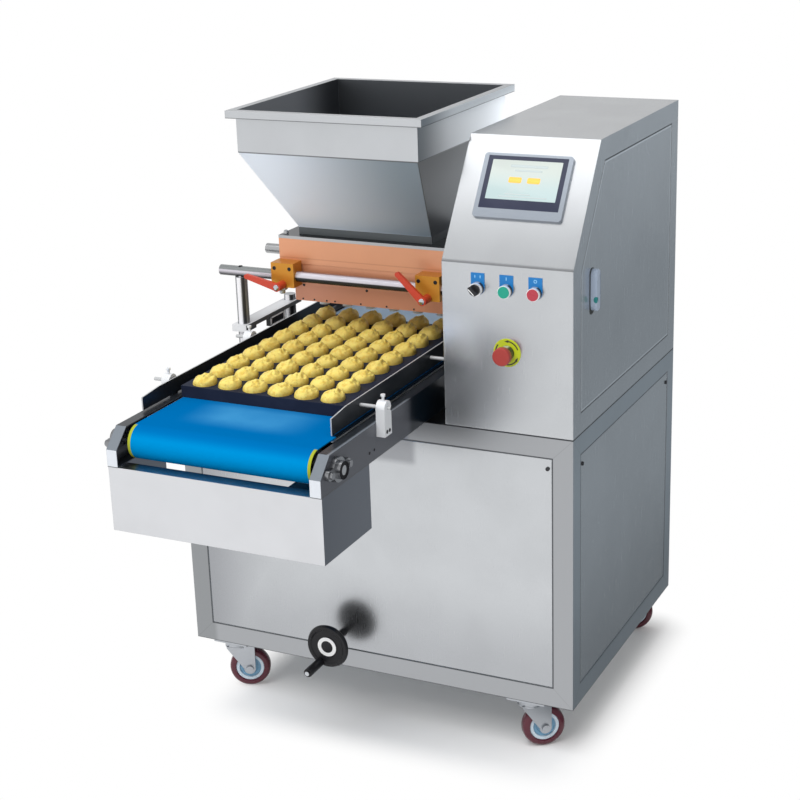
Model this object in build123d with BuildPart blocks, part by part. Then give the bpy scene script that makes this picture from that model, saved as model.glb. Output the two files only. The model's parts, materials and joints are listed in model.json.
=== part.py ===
from build123d import *
from math import cos, radians, sin, sqrt
import os

# Sheet, fits and gaps
sheet = 2.0
running_gap = 0.05
slide_gap = 0.1
seam_gap = 0.1
slip_gap = 0.3
panel_gap = 1.0

# Cabinet
base_depth = 714.0
base_height = 642.0
left_shelf = 136.0
frame_tube = 48.0
frame_wall = 6.0
plate_thickness = 3.0
panel_lip = 20.0
panel_recess = 0.5
panel_screw_radius = 2.4
panel_screw_head_radius = 4.5
panel_screw_head = 2.5
panel_screw_length = 14.0
panel_screw_drop = 23.0

# Casters
wheel_radius = 50.0
wheel_width = 32.0
wheel_hub_radius = 34.0
caster_trail = 30.0
caster_inset_left = 92.0
caster_inset_right = 115.0
caster_inset_y = 32.0
caster_plate_x = 92.0
caster_plate_y = 62.0
front_left_swivel = 26.0
front_right_swivel = 38.0
rear_left_swivel = 26.0
rear_right_swivel = 20.0
caster_plate = 5.0
caster_cup_radius = 29.0
caster_cup = 10.0
caster_pin_radius = 6.0
fork_crown = 4.0
fork_leg = 4.0
fork_tip_radius = 14.0
fork_crown_reach = 24.0
fork_gap = 2.5
wheel_top_gap = 7.7
axle_radius = 5.0
axle_head_radius = 9.0
axle_head = 5.0

# Control tower
tower_width = 296.0
tower_straight = 368.0
tower_height = 611.0
slant_depth = 168.0
door_border = 48.0
door_rib_inset = 30.0
door_rib_width = 15.0
door_rib = 12.0
pivot_gap = 3.0
pivot_inset = 7.0
pivot_setback = 6.0
pivot_radius = 4.0
pivot_block_height = 22.0
pivot_tab = 5.0
pivot_tab_length = 42.0
latch_proud = 14.0
latch_width = 28.0
latch_height = 91.0
latch_from_front = 118.0
latch_drop = 66.5
latch_spindle_radius = 6.0
latch_spindle_offset = 28.0
latch_spindle_length = 22.0
latch_tongue_length = 78.0
latch_tongue_width = 18.0
latch_tongue = 3.0

# Control panel
hmi_width = 200.0
hmi_height = 147.0
hmi_middle = 177.0
hmi_proud = 7.0
hmi_body_width = 186.0
hmi_body_height = 132.0
hmi_body_depth = 38.0
glass_width = 180.0
glass_height = 120.0
glass_raise = 7.5
glass_thickness = 2.2
button_pitch = 65.0
button_drop = 52.0
estop_drop = 188.0
collar_radius = 14.0
collar_proud = 17.0
collar_thread_radius = 10.9
collar_thread = 28.0
cap_radius = 12.5
cap_height = 6.0
cap_rise = 2.0
stem_radius = 6.0
stem_depth = 25.0
knob_radius = 12.0
knob_plate = 5.0
knob_grip = 11.0
knob_grip_width = 9.0
knob_angle = -45.0
estop_radius = 20.0
estop_cap_height = 13.0
estop_collar_radius = 16.0
estop_collar_proud = 19.0
estop_stem_radius = 8.0
estop_travel_room = 5.0
gland_radius = 14.0
gland_length = 24.0
gland_thread_radius = 10.0
gland_thread = 15.0
gland_nut = 6.0
gland_bore_radius = 6.0
gland_rise = 70.0
control_plate_margin = 34.0
control_plate_rise = 150.0
control_plate_height = 380.0
drive_unit_depth = 120.0
drive_unit_height = 150.0
switch_depth = 75.0
switch_height = 100.0
terminal_depth = 50.0
terminal_height = 30.0
device_gap = 30.0

# Conveyor
conveyor_gap = 48.0
front_reach = 485.0
rear_reach = 75.0
tray_width = 400.0
tray_length = 618.0
tray_height = 26.4
tray_front = 240.0
tray_offset = 20.0
tray_sheet = 2.0
belt_margin = 16.0
belt_thickness = 2.0
belt_side_gap = 11.0
belt_rise = 1.3
rail_width = 25.0
rail_height = 78.0
rail_sheet = 2.5
rail_nose = 38.0
rail_nose_slope = 42.0
roller_radius = 35.0
roller_setback = 63.0
roller_end_gap = 2.0
roller_shaft_radius = 10.0
shaft_room = 3.0
bed_thickness = 3.0
bed_overhang = 6.0
bed_end_gap = 15.0
bed_rib = 12.0
bed_rib_spacing = 300.0
cross_bar_width = 30.0
cross_bar_height = 20.0
cross_bar_count = 4
bearing_radius = 26.0
bearing_ear_radius = 11.0
bearing_ear_reach = 38.0
bearing_flange = 10.0
bearing_boss_radius = 19.0
bearing_boss = 20.0
bearing_bolt_radius = 4.0
bearing_bolt_head_radius = 7.0
bearing_bolt_head = 6.0
cover_depth = 207.0
cover_height = 143.0
cover_lip = 35.0
pulley_radius = 25.0
pulley_width = 9.0
pulley_gap = 3.0
drive_belt_thickness = 3.0
motor_back = 45.0
motor_rise = 58.0
motor_box = 88.0
motor_box_length = 104.0
motor_radius = 40.0
motor_length = 170.0
motor_shaft_radius = 8.0
motor_shaft_depth = 30.0
motor_pulley_gap = 6.0
guide_gap = 26.0
guide_plate = 3.0
guide_lift = 1.8
left_guide_height = 34.0
right_guide_height = 43.0
guide_front = 350.0
guide_rear_stop = 102.0
guide_chamfer_length = 65.0
guide_chamfer_share = 0.16
guide_rod_radius = 4.0
guide_rod_rise = 26.0
left_rod_tail = 27.0
right_rod_tail = 8.0
guide_stations = [-222.0, 127.0, 560.0]
bracket_thickness = 20.0
bracket_width = 32.0
bracket_rise = 47.0
lock_screw_radius = 3.0
lock_screw_height = 13.0
lock_screw_depth = 8.0
lock_screw_head_radius = 5.0
lock_screw_head = 5.0

# Dough
dough_columns = 6
dough_rows = 9
dough_pitch_x = 63.0
dough_pitch_y = 69.5
dough_first_row = 31.0
dough_radius = 29.0
dough_height = 31.0
dough_peak_radius = 5.0

# Depositing head
head_middle = 304.0
head_width = 430.0
head_front = 98.0
head_back = 108.0
nozzle_clearance = 3.5
nozzle_length = 44.5
nozzle_setback = 45.0
nozzle_radius = 12.5
nozzle_bore_radius = 8.0
nozzle_collar_radius = 17.0
nozzle_collar = 6.0
manifold_left = 180.0
manifold_right = 213.0
manifold_nose = 30.0
manifold_edge = 18.0
manifold_setback = 6.0
manifold_height = 49.0
manifold_hole_radius = 13.0
manifold_trough_front = 24.0
manifold_trough_back = 62.0
manifold_trough = 18.0
head_height = 107.0
head_top_plate = 7.0
head_side = 20.0
head_rear = 14.0
front_plate = 12.0
front_plate_step = 3.0
front_plate_step_height = 42.0
mouth_width = 344.0
mouth_depth = 148.0
feed_radius = 38.5
feed_spacing = 80.0
feed_axis_rise = 57.0
feed_end_gap = 0.5
feed_flutes = 14
feed_flute_radius = 6.0
feed_shaft_radius = 12.5
feed_stub = 66.0
feed_stub_radius = 12.0
feed_relief = 3.0
feed_relief_radius = 11.5
gear_teeth = 20
gear_width = 18.0
gear_gap = 3.0
gear_addendum = 3.4
gear_dedendum = 4.6
gear_tooth_tip = 2.4
gear_tooth_root = 7.4
gear_case = 53.0
gear_case_end = 10.0
gear_case_floor = 8.0
feed_box = 110.0
feed_box_length = 72.0
feed_motor_radius = 48.0
feed_motor_length = 130.0
feed_shaft_depth = 50.0
window_room = 8.0
lift_travel = 40.0

# Hopper
hopper_width = 481.0
hopper_depth = 523.0
hopper_front = 44.0
hopper_neck = 18.0
hopper_funnel = 203.0
hopper_collar = 78.0
hopper_rim = 17.0
hopper_overhang = 17.5
hopper_sheet = 2.0

# Clamp rod, posts and lift
rod_radius = 12.5
rod_rise = 16.0
rod_left = 366.0
rod_right = 293.0
clamp_width = 60.0
clamp_depth = 40.0
clamp_height = 58.0
clamp_drop = 8.0
clamp_spacing = 374.0
lever_hub_radius = 10.0
lever_hub_length = 32.0
lever_length = 88.0
lever_tip_radius = 5.5
lever_arm = 9.0
lever_root = 18.0
lever_drop = 17.0
lever_stud_radius = 4.0
lever_stud = 5.0
left_lever_angle = 166.0
right_lever_angle = 136.0
post_radius = 14.5
post_left = 312.0
post_right = 276.0
post_front = 186.0
post_back = 412.0
post_spigot_radius = 7.0
post_spigot = 9.0
rear_post_rise = 137.0
side_bar_rise = 112.0
side_bar = 11.0
side_bar_drop = 6.0
side_bar_width = 40.0
side_bar_end = 24.0
sensor_length = 72.0
sensor_width = 12.0
sensor_height = 22.0
sensor_forward = 100.0
lift_plate = 12.0
lift_plate_rise = 385.0
lift_plate_margin = 35.0
lift_nut_radius = 25.0
lift_nut = 40.0
screw_radius = 12.0
screw_collar_radius = 18.0
screw_collar = 6.0
screw_top_room = 48.0
screw_seat = 60.0
jack_width = 90.0
jack_depth = 100.0
jack_height = 100.0

# Handwheel
handwheel_offset = 20.0
handwheel_rise = 38.0
handwheel_stand = 74.0
handwheel_radius = 53.0
handwheel_rim = 13.0
handwheel_web = 8.0
handwheel_hub_radius = 24.0
handwheel_hub = 30.0
handwheel_cap_radius = 16.0
handwheel_cap = 5.0
handwheel_shaft_radius = 9.0
handwheel_shaft_seat = 35.0
crank_radius = 46.0
crank_angle = 245.0
crank_pin_radius = 4.0
grip_radius = 10.5
grip_length = 60.0
grip_gap = 1.0
grip_screw_radius = 6.0
grip_screw = 2.0

# Places worked out from the sizes above
belt_width = tray_width + 2 * belt_margin
conveyor_width = belt_width + 2 * (belt_side_gap + rail_width)
base_width = tower_width + conveyor_gap + conveyor_width + left_shelf
screw_proud = panel_screw_head - panel_recess
x_right = (base_width + screw_proud - latch_proud) / 2
x_left = x_right - base_width
y_front = (front_reach - base_depth - rear_reach) / 2
y_back = y_front + base_depth
caster_height = (2 * wheel_radius + wheel_top_gap + fork_crown + slip_gap + caster_cup + caster_plate)
base_bottom = caster_height
base_top = base_bottom + base_height
floor_top = base_bottom + frame_tube
rebate = panel_recess + sheet
window_left = x_left + frame_tube
window_right = x_right - frame_tube
window_front = y_front + frame_tube
window_back = y_back - frame_tube
window_low = base_bottom + frame_tube
window_high = base_top - frame_tube

tower_left = x_right - tower_width
tower_middle = x_right - tower_width / 2
crease_z = base_top + tower_straight
tower_top = base_top + tower_height
slant_rise = (tower_height - tower_straight) / slant_depth

middle = tower_left - conveyor_gap - conveyor_width / 2
rail_front = y_front - front_reach
rail_rear = y_back + rear_reach
rail_top = base_top + rail_height
belt_top = rail_top + belt_rise
roller_z = belt_top - belt_thickness - slip_gap - roller_radius
front_roller_y = rail_front + roller_setback
rear_roller_y = rail_rear - roller_setback
tray_bottom = belt_top + slip_gap
tray_top = tray_bottom + tray_height
tray_start = y_front - tray_front
tray_x = middle - tray_offset

nozzle_tip = tray_top + dough_height + nozzle_clearance
manifold_bottom = nozzle_tip + nozzle_length
head_bottom = manifold_bottom + manifold_height
head_top = head_bottom + head_height
head_y = y_front + head_middle
nozzle_y = head_y + nozzle_setback
plate_front_y = head_y - head_front
plate_back_y = plate_front_y + front_plate
head_rear_y = head_y + head_back
feed_z = head_bottom + feed_axis_rise
feed_front_y = head_y - feed_spacing / 2
feed_rear_y = head_y + feed_spacing / 2
chamber_half = head_width / 2 - head_side

rod_y = y_front + post_front
rod_z = head_bottom + rod_rise
clamp_low = head_bottom - clamp_drop
clamp_face_y = plate_front_y - clamp_depth
lift_plate_z = floor_top + lift_plate_rise
posts = [
    (middle - post_left, y_front + post_front),
    (middle + post_right, y_front + post_front),
    (middle - post_left, y_front + post_back),
    (middle + post_right, y_front + post_back),
]
handwheel_x = middle + handwheel_offset
handwheel_z = floor_top + handwheel_rise
jack_y = (posts[0][1] + posts[2][1]) / 2

pieces = {}


def block(low, high, mode=Mode.ADD):
    """Add or cut a box between two corners."""
    size = [end - start for start, end in zip(low, high)]
    centre = tuple((start + end) / 2 for start, end in zip(low, high))
    with Locations(centre):
        Box(*size, mode=mode)


def bar(start, end, radius, mode=Mode.ADD):
    """Add or cut a round bar from one point to another."""
    along = Vector(*end) - Vector(*start)
    with Locations(Plane(origin=start, z_dir=along).location):
        Cylinder(radius, along.length, align=(Align.CENTER, Align.CENTER, Align.MIN), mode=mode)


def tower_outline(inset, back_inset):
    """Corners of the tower's side drawn in by a distance, as (y, z) pairs."""
    drop = inset * sqrt(1 + slant_rise**2)
    front = y_front + inset
    top = tower_top - inset
    low = base_top + inset
    back = y_back - back_inset
    crease = crease_z + slant_rise * inset - drop
    slant_end = y_front + (top - crease_z + drop) / slant_rise
    return [(front, low), (front, crease), (slant_end, top), (back, top), (back, low)]


def gear_profile(phase):
    """Outline of a spur gear about its own centre, turned by a phase in degrees."""
    pitch_radius = feed_spacing / 2
    tip = pitch_radius + gear_addendum
    root = pitch_radius - gear_dedendum
    outline = []
    for tooth in range(gear_teeth):
        angle = radians(360 * tooth / gear_teeth + phase)
        half_root = gear_tooth_root / 2 / root
        half_tip = gear_tooth_tip / 2 / tip
        for radius, turn in ((root, -half_root), (tip, -half_tip), (tip, half_tip), (root, half_root)):
            outline.append((radius * cos(angle + turn), radius * sin(angle + turn)))
    return outline


# Welded base: tube frame with its deck and floor plates
panel_screws_at = []
for x in (window_left + panel_lip / 2, window_right - panel_lip / 2):
    panel_screws_at.append(((x, y_front + panel_recess, window_high - panel_screw_drop), (0, -1, 0)))
    panel_screws_at.append(((x, y_back - panel_recess, window_high - panel_screw_drop), (0, 1, 0)))
for y in (window_front + panel_lip / 2, window_back - panel_lip / 2):
    panel_screws_at.append(((x_left + panel_recess, y, window_high - panel_screw_drop), (-1, 0, 0)))
    panel_screws_at.append(((x_right - panel_recess, y, window_high - panel_screw_drop), (1, 0, 0)))


def along_screw(seat, outward, distance):
    """Point at a distance from a screw's seat, positive outward."""
    return tuple(at + step * distance for at, step in zip(seat, outward))


with BuildPart() as base_frame:
    block((x_left, y_front, base_bottom), (x_right, y_back, base_top))
    for low, high in (
        (base_bottom + frame_wall, floor_top - plate_thickness),
        (floor_top, base_top - plate_thickness),
    ):
        block(
            (x_left + frame_wall, y_front + frame_wall, low),
            (x_right - frame_wall, y_back - frame_wall, high),
            Mode.SUBTRACT,
        )
    block(
        (window_left, window_front, base_bottom),
        (window_right, window_back, floor_top - plate_thickness),
        Mode.SUBTRACT,
    )
    # openings behind the panels, front to back and side to side
    block(
        (window_left + panel_lip, y_front, window_low + panel_lip),
        (window_right - panel_lip, y_back, window_high - panel_lip),
        Mode.SUBTRACT,
    )
    block(
        (x_left, window_front + panel_lip, window_low + panel_lip),
        (x_right, window_back - panel_lip, window_high - panel_lip),
        Mode.SUBTRACT,
    )
    # shallow seats that the panels lie in
    for start, end in ((y_front, y_front + rebate), (y_back - rebate, y_back)):
        block((window_left, start, window_low), (window_right, end, window_high), Mode.SUBTRACT)
    for start, end in ((x_left, x_left + rebate), (x_right - rebate, x_right)):
        block((start, window_front, window_low), (end, window_back, window_high), Mode.SUBTRACT)
    for x, y in posts:
        bar((x, y, base_top - plate_thickness), (x, y, base_top), post_radius + running_gap, Mode.SUBTRACT)
    for seat, outward in panel_screws_at:
        hole_end = along_screw(seat, outward, -panel_screw_length - panel_gap)
        bar(seat, hole_end, panel_screw_radius + slide_gap, Mode.SUBTRACT)
pieces["base_frame"] = base_frame

# Four removable panels
with BuildPart() as cabinet_panels:
    low = window_low + panel_gap
    high = window_high - panel_gap
    for start, end in ((y_front + panel_recess, y_front + rebate), (y_back - rebate, y_back - panel_recess)):
        block((window_left + panel_gap, start, low), (window_right - panel_gap, end, high))
    for start, end in ((x_left + panel_recess, x_left + rebate), (x_right - rebate, x_right - panel_recess)):
        block((start, window_front + panel_gap, low), (end, window_back - panel_gap, high))
    for seat, outward in panel_screws_at:
        bar(seat, along_screw(seat, outward, -sheet), panel_screw_radius + slip_gap, Mode.SUBTRACT)
    bar(
        (handwheel_x, y_front, handwheel_z),
        (handwheel_x, y_front + rebate, handwheel_z),
        handwheel_shaft_radius + slip_gap,
        Mode.SUBTRACT,
    )
pieces["cabinet_panels"] = cabinet_panels

with BuildPart() as panel_screws:
    for seat, outward in panel_screws_at:
        bar(seat, along_screw(seat, outward, panel_screw_head), panel_screw_head_radius)
        bar(seat, along_screw(seat, outward, -panel_screw_length), panel_screw_radius)
pieces["panel_screws"] = panel_screws

# Casters: plates on the base, swivelling forks and wheels
swivels = {
    "front_left": (x_left + caster_inset_left, y_front + caster_inset_y, front_left_swivel),
    "front_right": (x_right - caster_inset_right, y_front + caster_inset_y, front_right_swivel),
    "rear_left": (x_left + caster_inset_left, y_back - caster_inset_y, rear_left_swivel),
    "rear_right": (x_right - caster_inset_right, y_back - caster_inset_y, rear_right_swivel),
}
cup_low = base_bottom - caster_plate - caster_cup
crown_top = cup_low - slip_gap
crown_low = crown_top - fork_crown
leg_inside = wheel_width / 2 + fork_gap
leg_outside = leg_inside + fork_leg

with BuildPart() as caster_plates:
    for x, y, turn in swivels.values():
        half_x = caster_plate_x / 2
        half_y = caster_plate_y / 2
        block((x - half_x, y - half_y, base_bottom - caster_plate), (x + half_x, y + half_y, base_bottom))
        bar((x, y, cup_low), (x, y, base_bottom - caster_plate), caster_cup_radius)
        bar((x, y, cup_low), (x, y, base_bottom), caster_pin_radius + running_gap, Mode.SUBTRACT)
pieces["caster_plates"] = caster_plates

for corner, (x, y, turn) in swivels.items():
    trail_dir = Vector(cos(radians(turn)), sin(radians(turn)), 0)
    axle_dir = Vector(-sin(radians(turn)), cos(radians(turn)), 0)
    axle_tip = caster_trail + fork_tip_radius
    # sizes below run along the trail, across it and up, from the point under the swivel
    with BuildPart(Plane((x, y, 0), x_dir=trail_dir, z_dir=(0, 0, 1))) as fork:
        block((-fork_crown_reach, -leg_outside, crown_low), (axle_tip, leg_outside, crown_top))
        bar((0, 0, crown_low), (0, 0, crown_top), caster_cup_radius)
        bar((0, 0, crown_top), (0, 0, base_bottom - slip_gap), caster_pin_radius)
        for side in (-1, 1):
            leg_plane = Plane(
                Vector(x, y, 0) + axle_dir * (side * leg_inside),
                x_dir=trail_dir,
                z_dir=axle_dir * -1,
            )
            with BuildSketch(leg_plane):
                with BuildLine():
                    Polyline(
                        (-fork_crown_reach, crown_low),
                        (axle_tip, crown_low),
                        (axle_tip, wheel_radius),
                        (caster_trail - fork_tip_radius, wheel_radius),
                        close=True,
                    )
                make_face()
                with Locations((caster_trail, wheel_radius)):
                    Circle(fork_tip_radius)
                    Circle(axle_radius + slide_gap, mode=Mode.SUBTRACT)
            extrude(amount=-side * fork_leg)
        # the axle bolt with a head outside each leg
        head_from = leg_outside + slip_gap
        bar((caster_trail, -head_from, wheel_radius), (caster_trail, head_from, wheel_radius), axle_radius)
        for side in (-1, 1):
            bar(
                (caster_trail, side * head_from, wheel_radius),
                (caster_trail, side * (head_from + axle_head), wheel_radius),
                axle_head_radius,
            )
    pieces[f"caster_fork_{corner}"] = fork
    with BuildPart(Plane((x, y, 0), x_dir=trail_dir, z_dir=(0, 0, 1))) as wheel:
        half = wheel_width / 2
        with BuildSketch(Plane((x, y, wheel_radius), x_dir=trail_dir, z_dir=(0, 0, 1))):
            with BuildLine():
                Polyline(
                    (caster_trail, -half),
                    (caster_trail + wheel_hub_radius, -half + fork_gap),
                    (caster_trail + wheel_radius - fork_leg, -half),
                    (caster_trail + wheel_radius, -half / 2),
                    (caster_trail + wheel_radius, half / 2),
                    (caster_trail + wheel_radius - fork_leg, half),
                    (caster_trail + wheel_hub_radius, half - fork_gap),
                    (caster_trail, half),
                    close=True,
                )
            make_face()
        revolve(axis=Axis(Vector(x, y, wheel_radius) + trail_dir * caster_trail, axle_dir))
        bar(
            (caster_trail, -half, wheel_radius),
            (caster_trail, half, wheel_radius),
            axle_radius + running_gap,
            Mode.SUBTRACT,
        )
    pieces[f"caster_wheel_{corner}"] = wheel

# Control tower: flat sheets that meet at narrow seams, with a door opening on its right side
slant_plane = Plane(
    origin=(tower_middle, y_front, crease_z),
    x_dir=(1, 0, 0),
    z_dir=(0, -slant_rise, 1),
)
button_z = crease_z - button_drop
estop_z = crease_z - estop_drop
button_x = {
    "selector": tower_middle - button_pitch,
    "green": tower_middle,
    "red": tower_middle + button_pitch,
}
gland_at = (tower_middle, base_top + gland_rise)
feed_box_half = feed_box / 2



def cut_seams(corners, left, right):
    """Cut a seam at each corner of a ring of sheets that runs round the tower's side."""
    (front, low), (front, crease), (slant_end, top), (back, top), (back, low) = corners
    for seam_low, seam_high in (
        ((left, y_front, low), (right, front, low + seam_gap)),
        ((left, y_front, crease - seam_gap), (right, front, crease)),
        ((left, slant_end, top), (right, slant_end + seam_gap, tower_top)),
        ((left, back, top - seam_gap), (right, y_back, top)),
        ((left, back, low), (right, y_back, low + seam_gap)),
    ):
        block(seam_low, seam_high, Mode.SUBTRACT)


with BuildPart() as tower_shell:
    with BuildSketch(Plane.YZ.offset(tower_left)):
        with BuildLine():
            Polyline(*tower_outline(0, 0), close=True)
        make_face()
    extrude(amount=tower_width)
    with BuildSketch(Plane.YZ.offset(tower_left + sheet)):
        with BuildLine():
            Polyline(*tower_outline(sheet, sheet), close=True)
        make_face()
    extrude(amount=tower_width - 2 * sheet, mode=Mode.SUBTRACT)
    with BuildSketch(Plane.YZ.offset(x_right - sheet)):
        with BuildLine():
            Polyline(*tower_outline(door_border, door_border), close=True)
        make_face()
    extrude(amount=sheet, mode=Mode.SUBTRACT)
    with BuildSketch(slant_plane):
        with Locations((0, hmi_middle)):
            Rectangle(hmi_body_width + 2 * panel_gap, hmi_body_height + 2 * panel_gap)
    extrude(amount=-2 * sheet, mode=Mode.SUBTRACT)
    for x, z in [(x, button_z) for x in button_x.values()] + [(tower_middle, estop_z)]:
        bar((x, y_front, z), (x, y_front + sheet, z), collar_thread_radius + slide_gap, Mode.SUBTRACT)
    bar(
        (gland_at[0], y_back - sheet, gland_at[1]),
        (gland_at[0], y_back, gland_at[1]),
        gland_thread_radius + slide_gap,
        Mode.SUBTRACT,
    )
    # window in the left wall for the feed drive, tall enough for the head's lift
    block(
        (tower_left, feed_front_y - feed_box_half - window_room, feed_z - feed_box_half - window_room),
        (
            tower_left + sheet,
            feed_front_y + feed_box_half + window_room,
            feed_z + feed_box_half + window_room + lift_travel,
        ),
        Mode.SUBTRACT,
    )
    # seams beside the left wall and the door's surround, then round the sheets between them and round the surround
    for seam in (tower_left + sheet, x_right - sheet - seam_gap):
        block((seam, y_front, base_top), (seam + seam_gap, y_back, tower_top), Mode.SUBTRACT)
    cut_seams(tower_outline(sheet, sheet), tower_left + sheet, x_right - sheet)
    cut_seams(tower_outline(door_border, door_border), x_right - sheet, x_right)
pieces["tower_shell"] = tower_shell

# Door on two pivots behind its rear edge
door_back_inset = door_border + pivot_gap
door_edge_y = y_back - door_back_inset
pivot_x = x_right - pivot_inset
pivot_y = door_edge_y - pivot_setback
opening_low = base_top + door_border
opening_high = tower_top - door_border
door_low = opening_low + panel_gap
door_high = opening_high - panel_gap
latch_y = y_front + latch_from_front
latch_z = crease_z - latch_drop
latch_spindle_z = latch_z + latch_spindle_offset

with BuildPart() as door_pivots:
    for tab_from, tab_to, pin_end in (
        (opening_high, opening_high + pivot_tab, door_high - pivot_block_height / 2),
        (opening_low - pivot_tab, opening_low, door_low + pivot_block_height / 2),
    ):
        block(
            (pivot_x - pivot_inset, pivot_y - pivot_inset, tab_from),
            (x_right - sheet, pivot_y - pivot_inset + pivot_tab_length, tab_to),
        )
        bar((pivot_x, pivot_y, (tab_from + tab_to) / 2), (pivot_x, pivot_y, pin_end), pivot_radius)
pieces["door_pivots"] = door_pivots


def door_outline(inset):
    """Corners of the door drawn in from its edges."""
    return tower_outline(door_border + panel_gap + inset, door_back_inset + inset)


with BuildPart() as tower_door:
    with BuildSketch(Plane.YZ.offset(x_right - sheet)):
        with BuildLine():
            Polyline(*door_outline(0), close=True)
        make_face()
    extrude(amount=sheet)
    with BuildSketch(Plane.YZ.offset(x_right - sheet)):
        with BuildLine():
            Polyline(*door_outline(door_rib_inset), close=True)
        make_face()
        with BuildLine():
            Polyline(*door_outline(door_rib_inset + door_rib_width), close=True)
        make_face(mode=Mode.SUBTRACT)
    extrude(amount=-door_rib)
    for low, high in ((door_high - pivot_block_height, door_high), (door_low, door_low + pivot_block_height)):
        block(
            (pivot_x - pivot_setback, pivot_y - pivot_setback, low),
            (x_right - sheet, door_edge_y, high),
        )
    for pin_from, pin_to in (
        (door_high, door_high - pivot_block_height / 2 - slip_gap),
        (door_low, door_low + pivot_block_height / 2 + slip_gap),
    ):
        bar(
            (pivot_x, pivot_y, pin_from),
            (pivot_x, pivot_y, pin_to),
            pivot_radius + running_gap,
            Mode.SUBTRACT,
        )
    bar(
        (x_right - sheet, latch_y, latch_spindle_z),
        (x_right, latch_y, latch_spindle_z),
        latch_spindle_radius + running_gap,
        Mode.SUBTRACT,
    )
pieces["tower_door"] = tower_door

with BuildPart() as latch_handle:
    with BuildSketch(Plane.YZ.offset(x_right + slip_gap)):
        with Locations((latch_y, latch_z)):
            SlotOverall(latch_height, latch_width, rotation=90)
    extrude(amount=latch_proud - slip_gap)
    chamfer(latch_handle.faces().sort_by(Axis.X)[-1].edges(), latch_proud / 6)
    bar(
        (x_right - latch_spindle_length, latch_y, latch_spindle_z),
        (x_right + slip_gap, latch_y, latch_spindle_z),
        latch_spindle_radius,
    )
    block(
        (
            x_right - latch_spindle_length,
            latch_y - latch_tongue_width / 2,
            latch_spindle_z - latch_tongue_length,
        ),
        (
            x_right - latch_spindle_length + latch_tongue,
            latch_y + latch_tongue_width / 2,
            latch_spindle_z + latch_tongue_width / 2,
        ),
    )
pieces["latch_handle"] = latch_handle

# Operator panel on the slanted face
with BuildPart() as hmi_bezel:
    with BuildSketch(slant_plane):
        with Locations((0, hmi_middle)):
            RectangleRounded(hmi_width, hmi_height, hmi_proud)
    extrude(amount=hmi_proud)
    with BuildSketch(slant_plane):
        with Locations((0, hmi_middle)):
            Rectangle(hmi_body_width, hmi_body_height)
    extrude(amount=-hmi_body_depth)
    with BuildSketch(slant_plane.offset(hmi_proud)):
        with Locations((0, hmi_middle + glass_raise)):
            Rectangle(glass_width + 2 * slide_gap, glass_height + 2 * slide_gap)
    extrude(amount=-glass_thickness - slide_gap, mode=Mode.SUBTRACT)
pieces["hmi_bezel"] = hmi_bezel

with BuildPart() as hmi_screen:
    with BuildSketch(slant_plane.offset(hmi_proud - slide_gap - glass_thickness)):
        with Locations((0, hmi_middle + glass_raise)):
            Rectangle(glass_width, glass_height)
    extrude(amount=glass_thickness)
pieces["hmi_screen"] = hmi_screen

# Push buttons, selector and emergency stop with their collars
pocket_y = y_front - slip_gap
collar_face = y_front - collar_proud
estop_collar_face = y_front - estop_collar_proud

with BuildPart() as button_collars:
    for name, x in button_x.items():
        bar((x, y_front, button_z), (x, collar_face, button_z), collar_radius)
        bar((x, y_front, button_z), (x, y_front + collar_thread, button_z), collar_thread_radius)
        bar(
            (x, collar_face, button_z),
            (x, y_front + collar_thread, button_z),
            stem_radius + slide_gap,
            Mode.SUBTRACT,
        )
        if name != "selector":
            bar((x, collar_face, button_z), (x, pocket_y, button_z), cap_radius + slide_gap, Mode.SUBTRACT)
    bar((tower_middle, y_front, estop_z), (tower_middle, estop_collar_face, estop_z), estop_collar_radius)
    bar(
        (tower_middle, y_front, estop_z),
        (tower_middle, y_front + collar_thread, estop_z),
        collar_thread_radius,
    )
    bar(
        (tower_middle, estop_collar_face, estop_z),
        (tower_middle, y_front + collar_thread, estop_z),
        estop_stem_radius + slide_gap,
        Mode.SUBTRACT,
    )
pieces["button_collars"] = button_collars

for colour in ("green", "red"):
    x = button_x[colour]
    cap_face = collar_face - cap_rise
    with BuildPart() as button:
        bar((x, cap_face, button_z), (x, cap_face + cap_height, button_z), cap_radius)
        bar((x, cap_face, button_z), (x, y_front + stem_depth, button_z), stem_radius)
    pieces[f"{colour}_button"] = button

with BuildPart() as selector_knob:
    x = button_x["selector"]
    knob_back = collar_face - slip_gap
    bar((x, knob_back, button_z), (x, knob_back - knob_plate, button_z), knob_radius)
    bar((x, knob_back, button_z), (x, y_front + stem_depth, button_z), stem_radius)
    with BuildSketch(Plane.XZ.offset(-(knob_back - knob_plate))):
        with Locations((x, button_z)):
            SlotOverall(2 * (knob_radius - slip_gap), knob_grip_width, rotation=knob_angle)
    extrude(amount=knob_grip)
pieces["selector_knob"] = selector_knob

with BuildPart() as estop_button:
    cap_back = estop_collar_face - estop_travel_room
    cap_face = cap_back - estop_cap_height
    bar((tower_middle, cap_back, estop_z), (tower_middle, cap_face, estop_z), estop_radius)
    fillet(estop_button.edges().group_by(Axis.Y)[0], estop_cap_height / 4)
    bar((tower_middle, cap_back, estop_z), (tower_middle, y_front + stem_depth, estop_z), estop_stem_radius)
pieces["estop_button"] = estop_button

# Cable gland through the tower's back
with BuildPart() as cable_gland:
    x, z = gland_at
    bar((x, y_back, z), (x, y_back + gland_length, z), gland_radius)
    bar((x, y_back - gland_thread, z), (x, y_back, z), gland_thread_radius)
    bar((x, y_back - sheet - gland_nut, z), (x, y_back - sheet, z), gland_radius)
    bar((x, y_back - gland_thread, z), (x, y_back + gland_length, z), gland_bore_radius, Mode.SUBTRACT)
pieces["cable_gland"] = cable_gland

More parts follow.
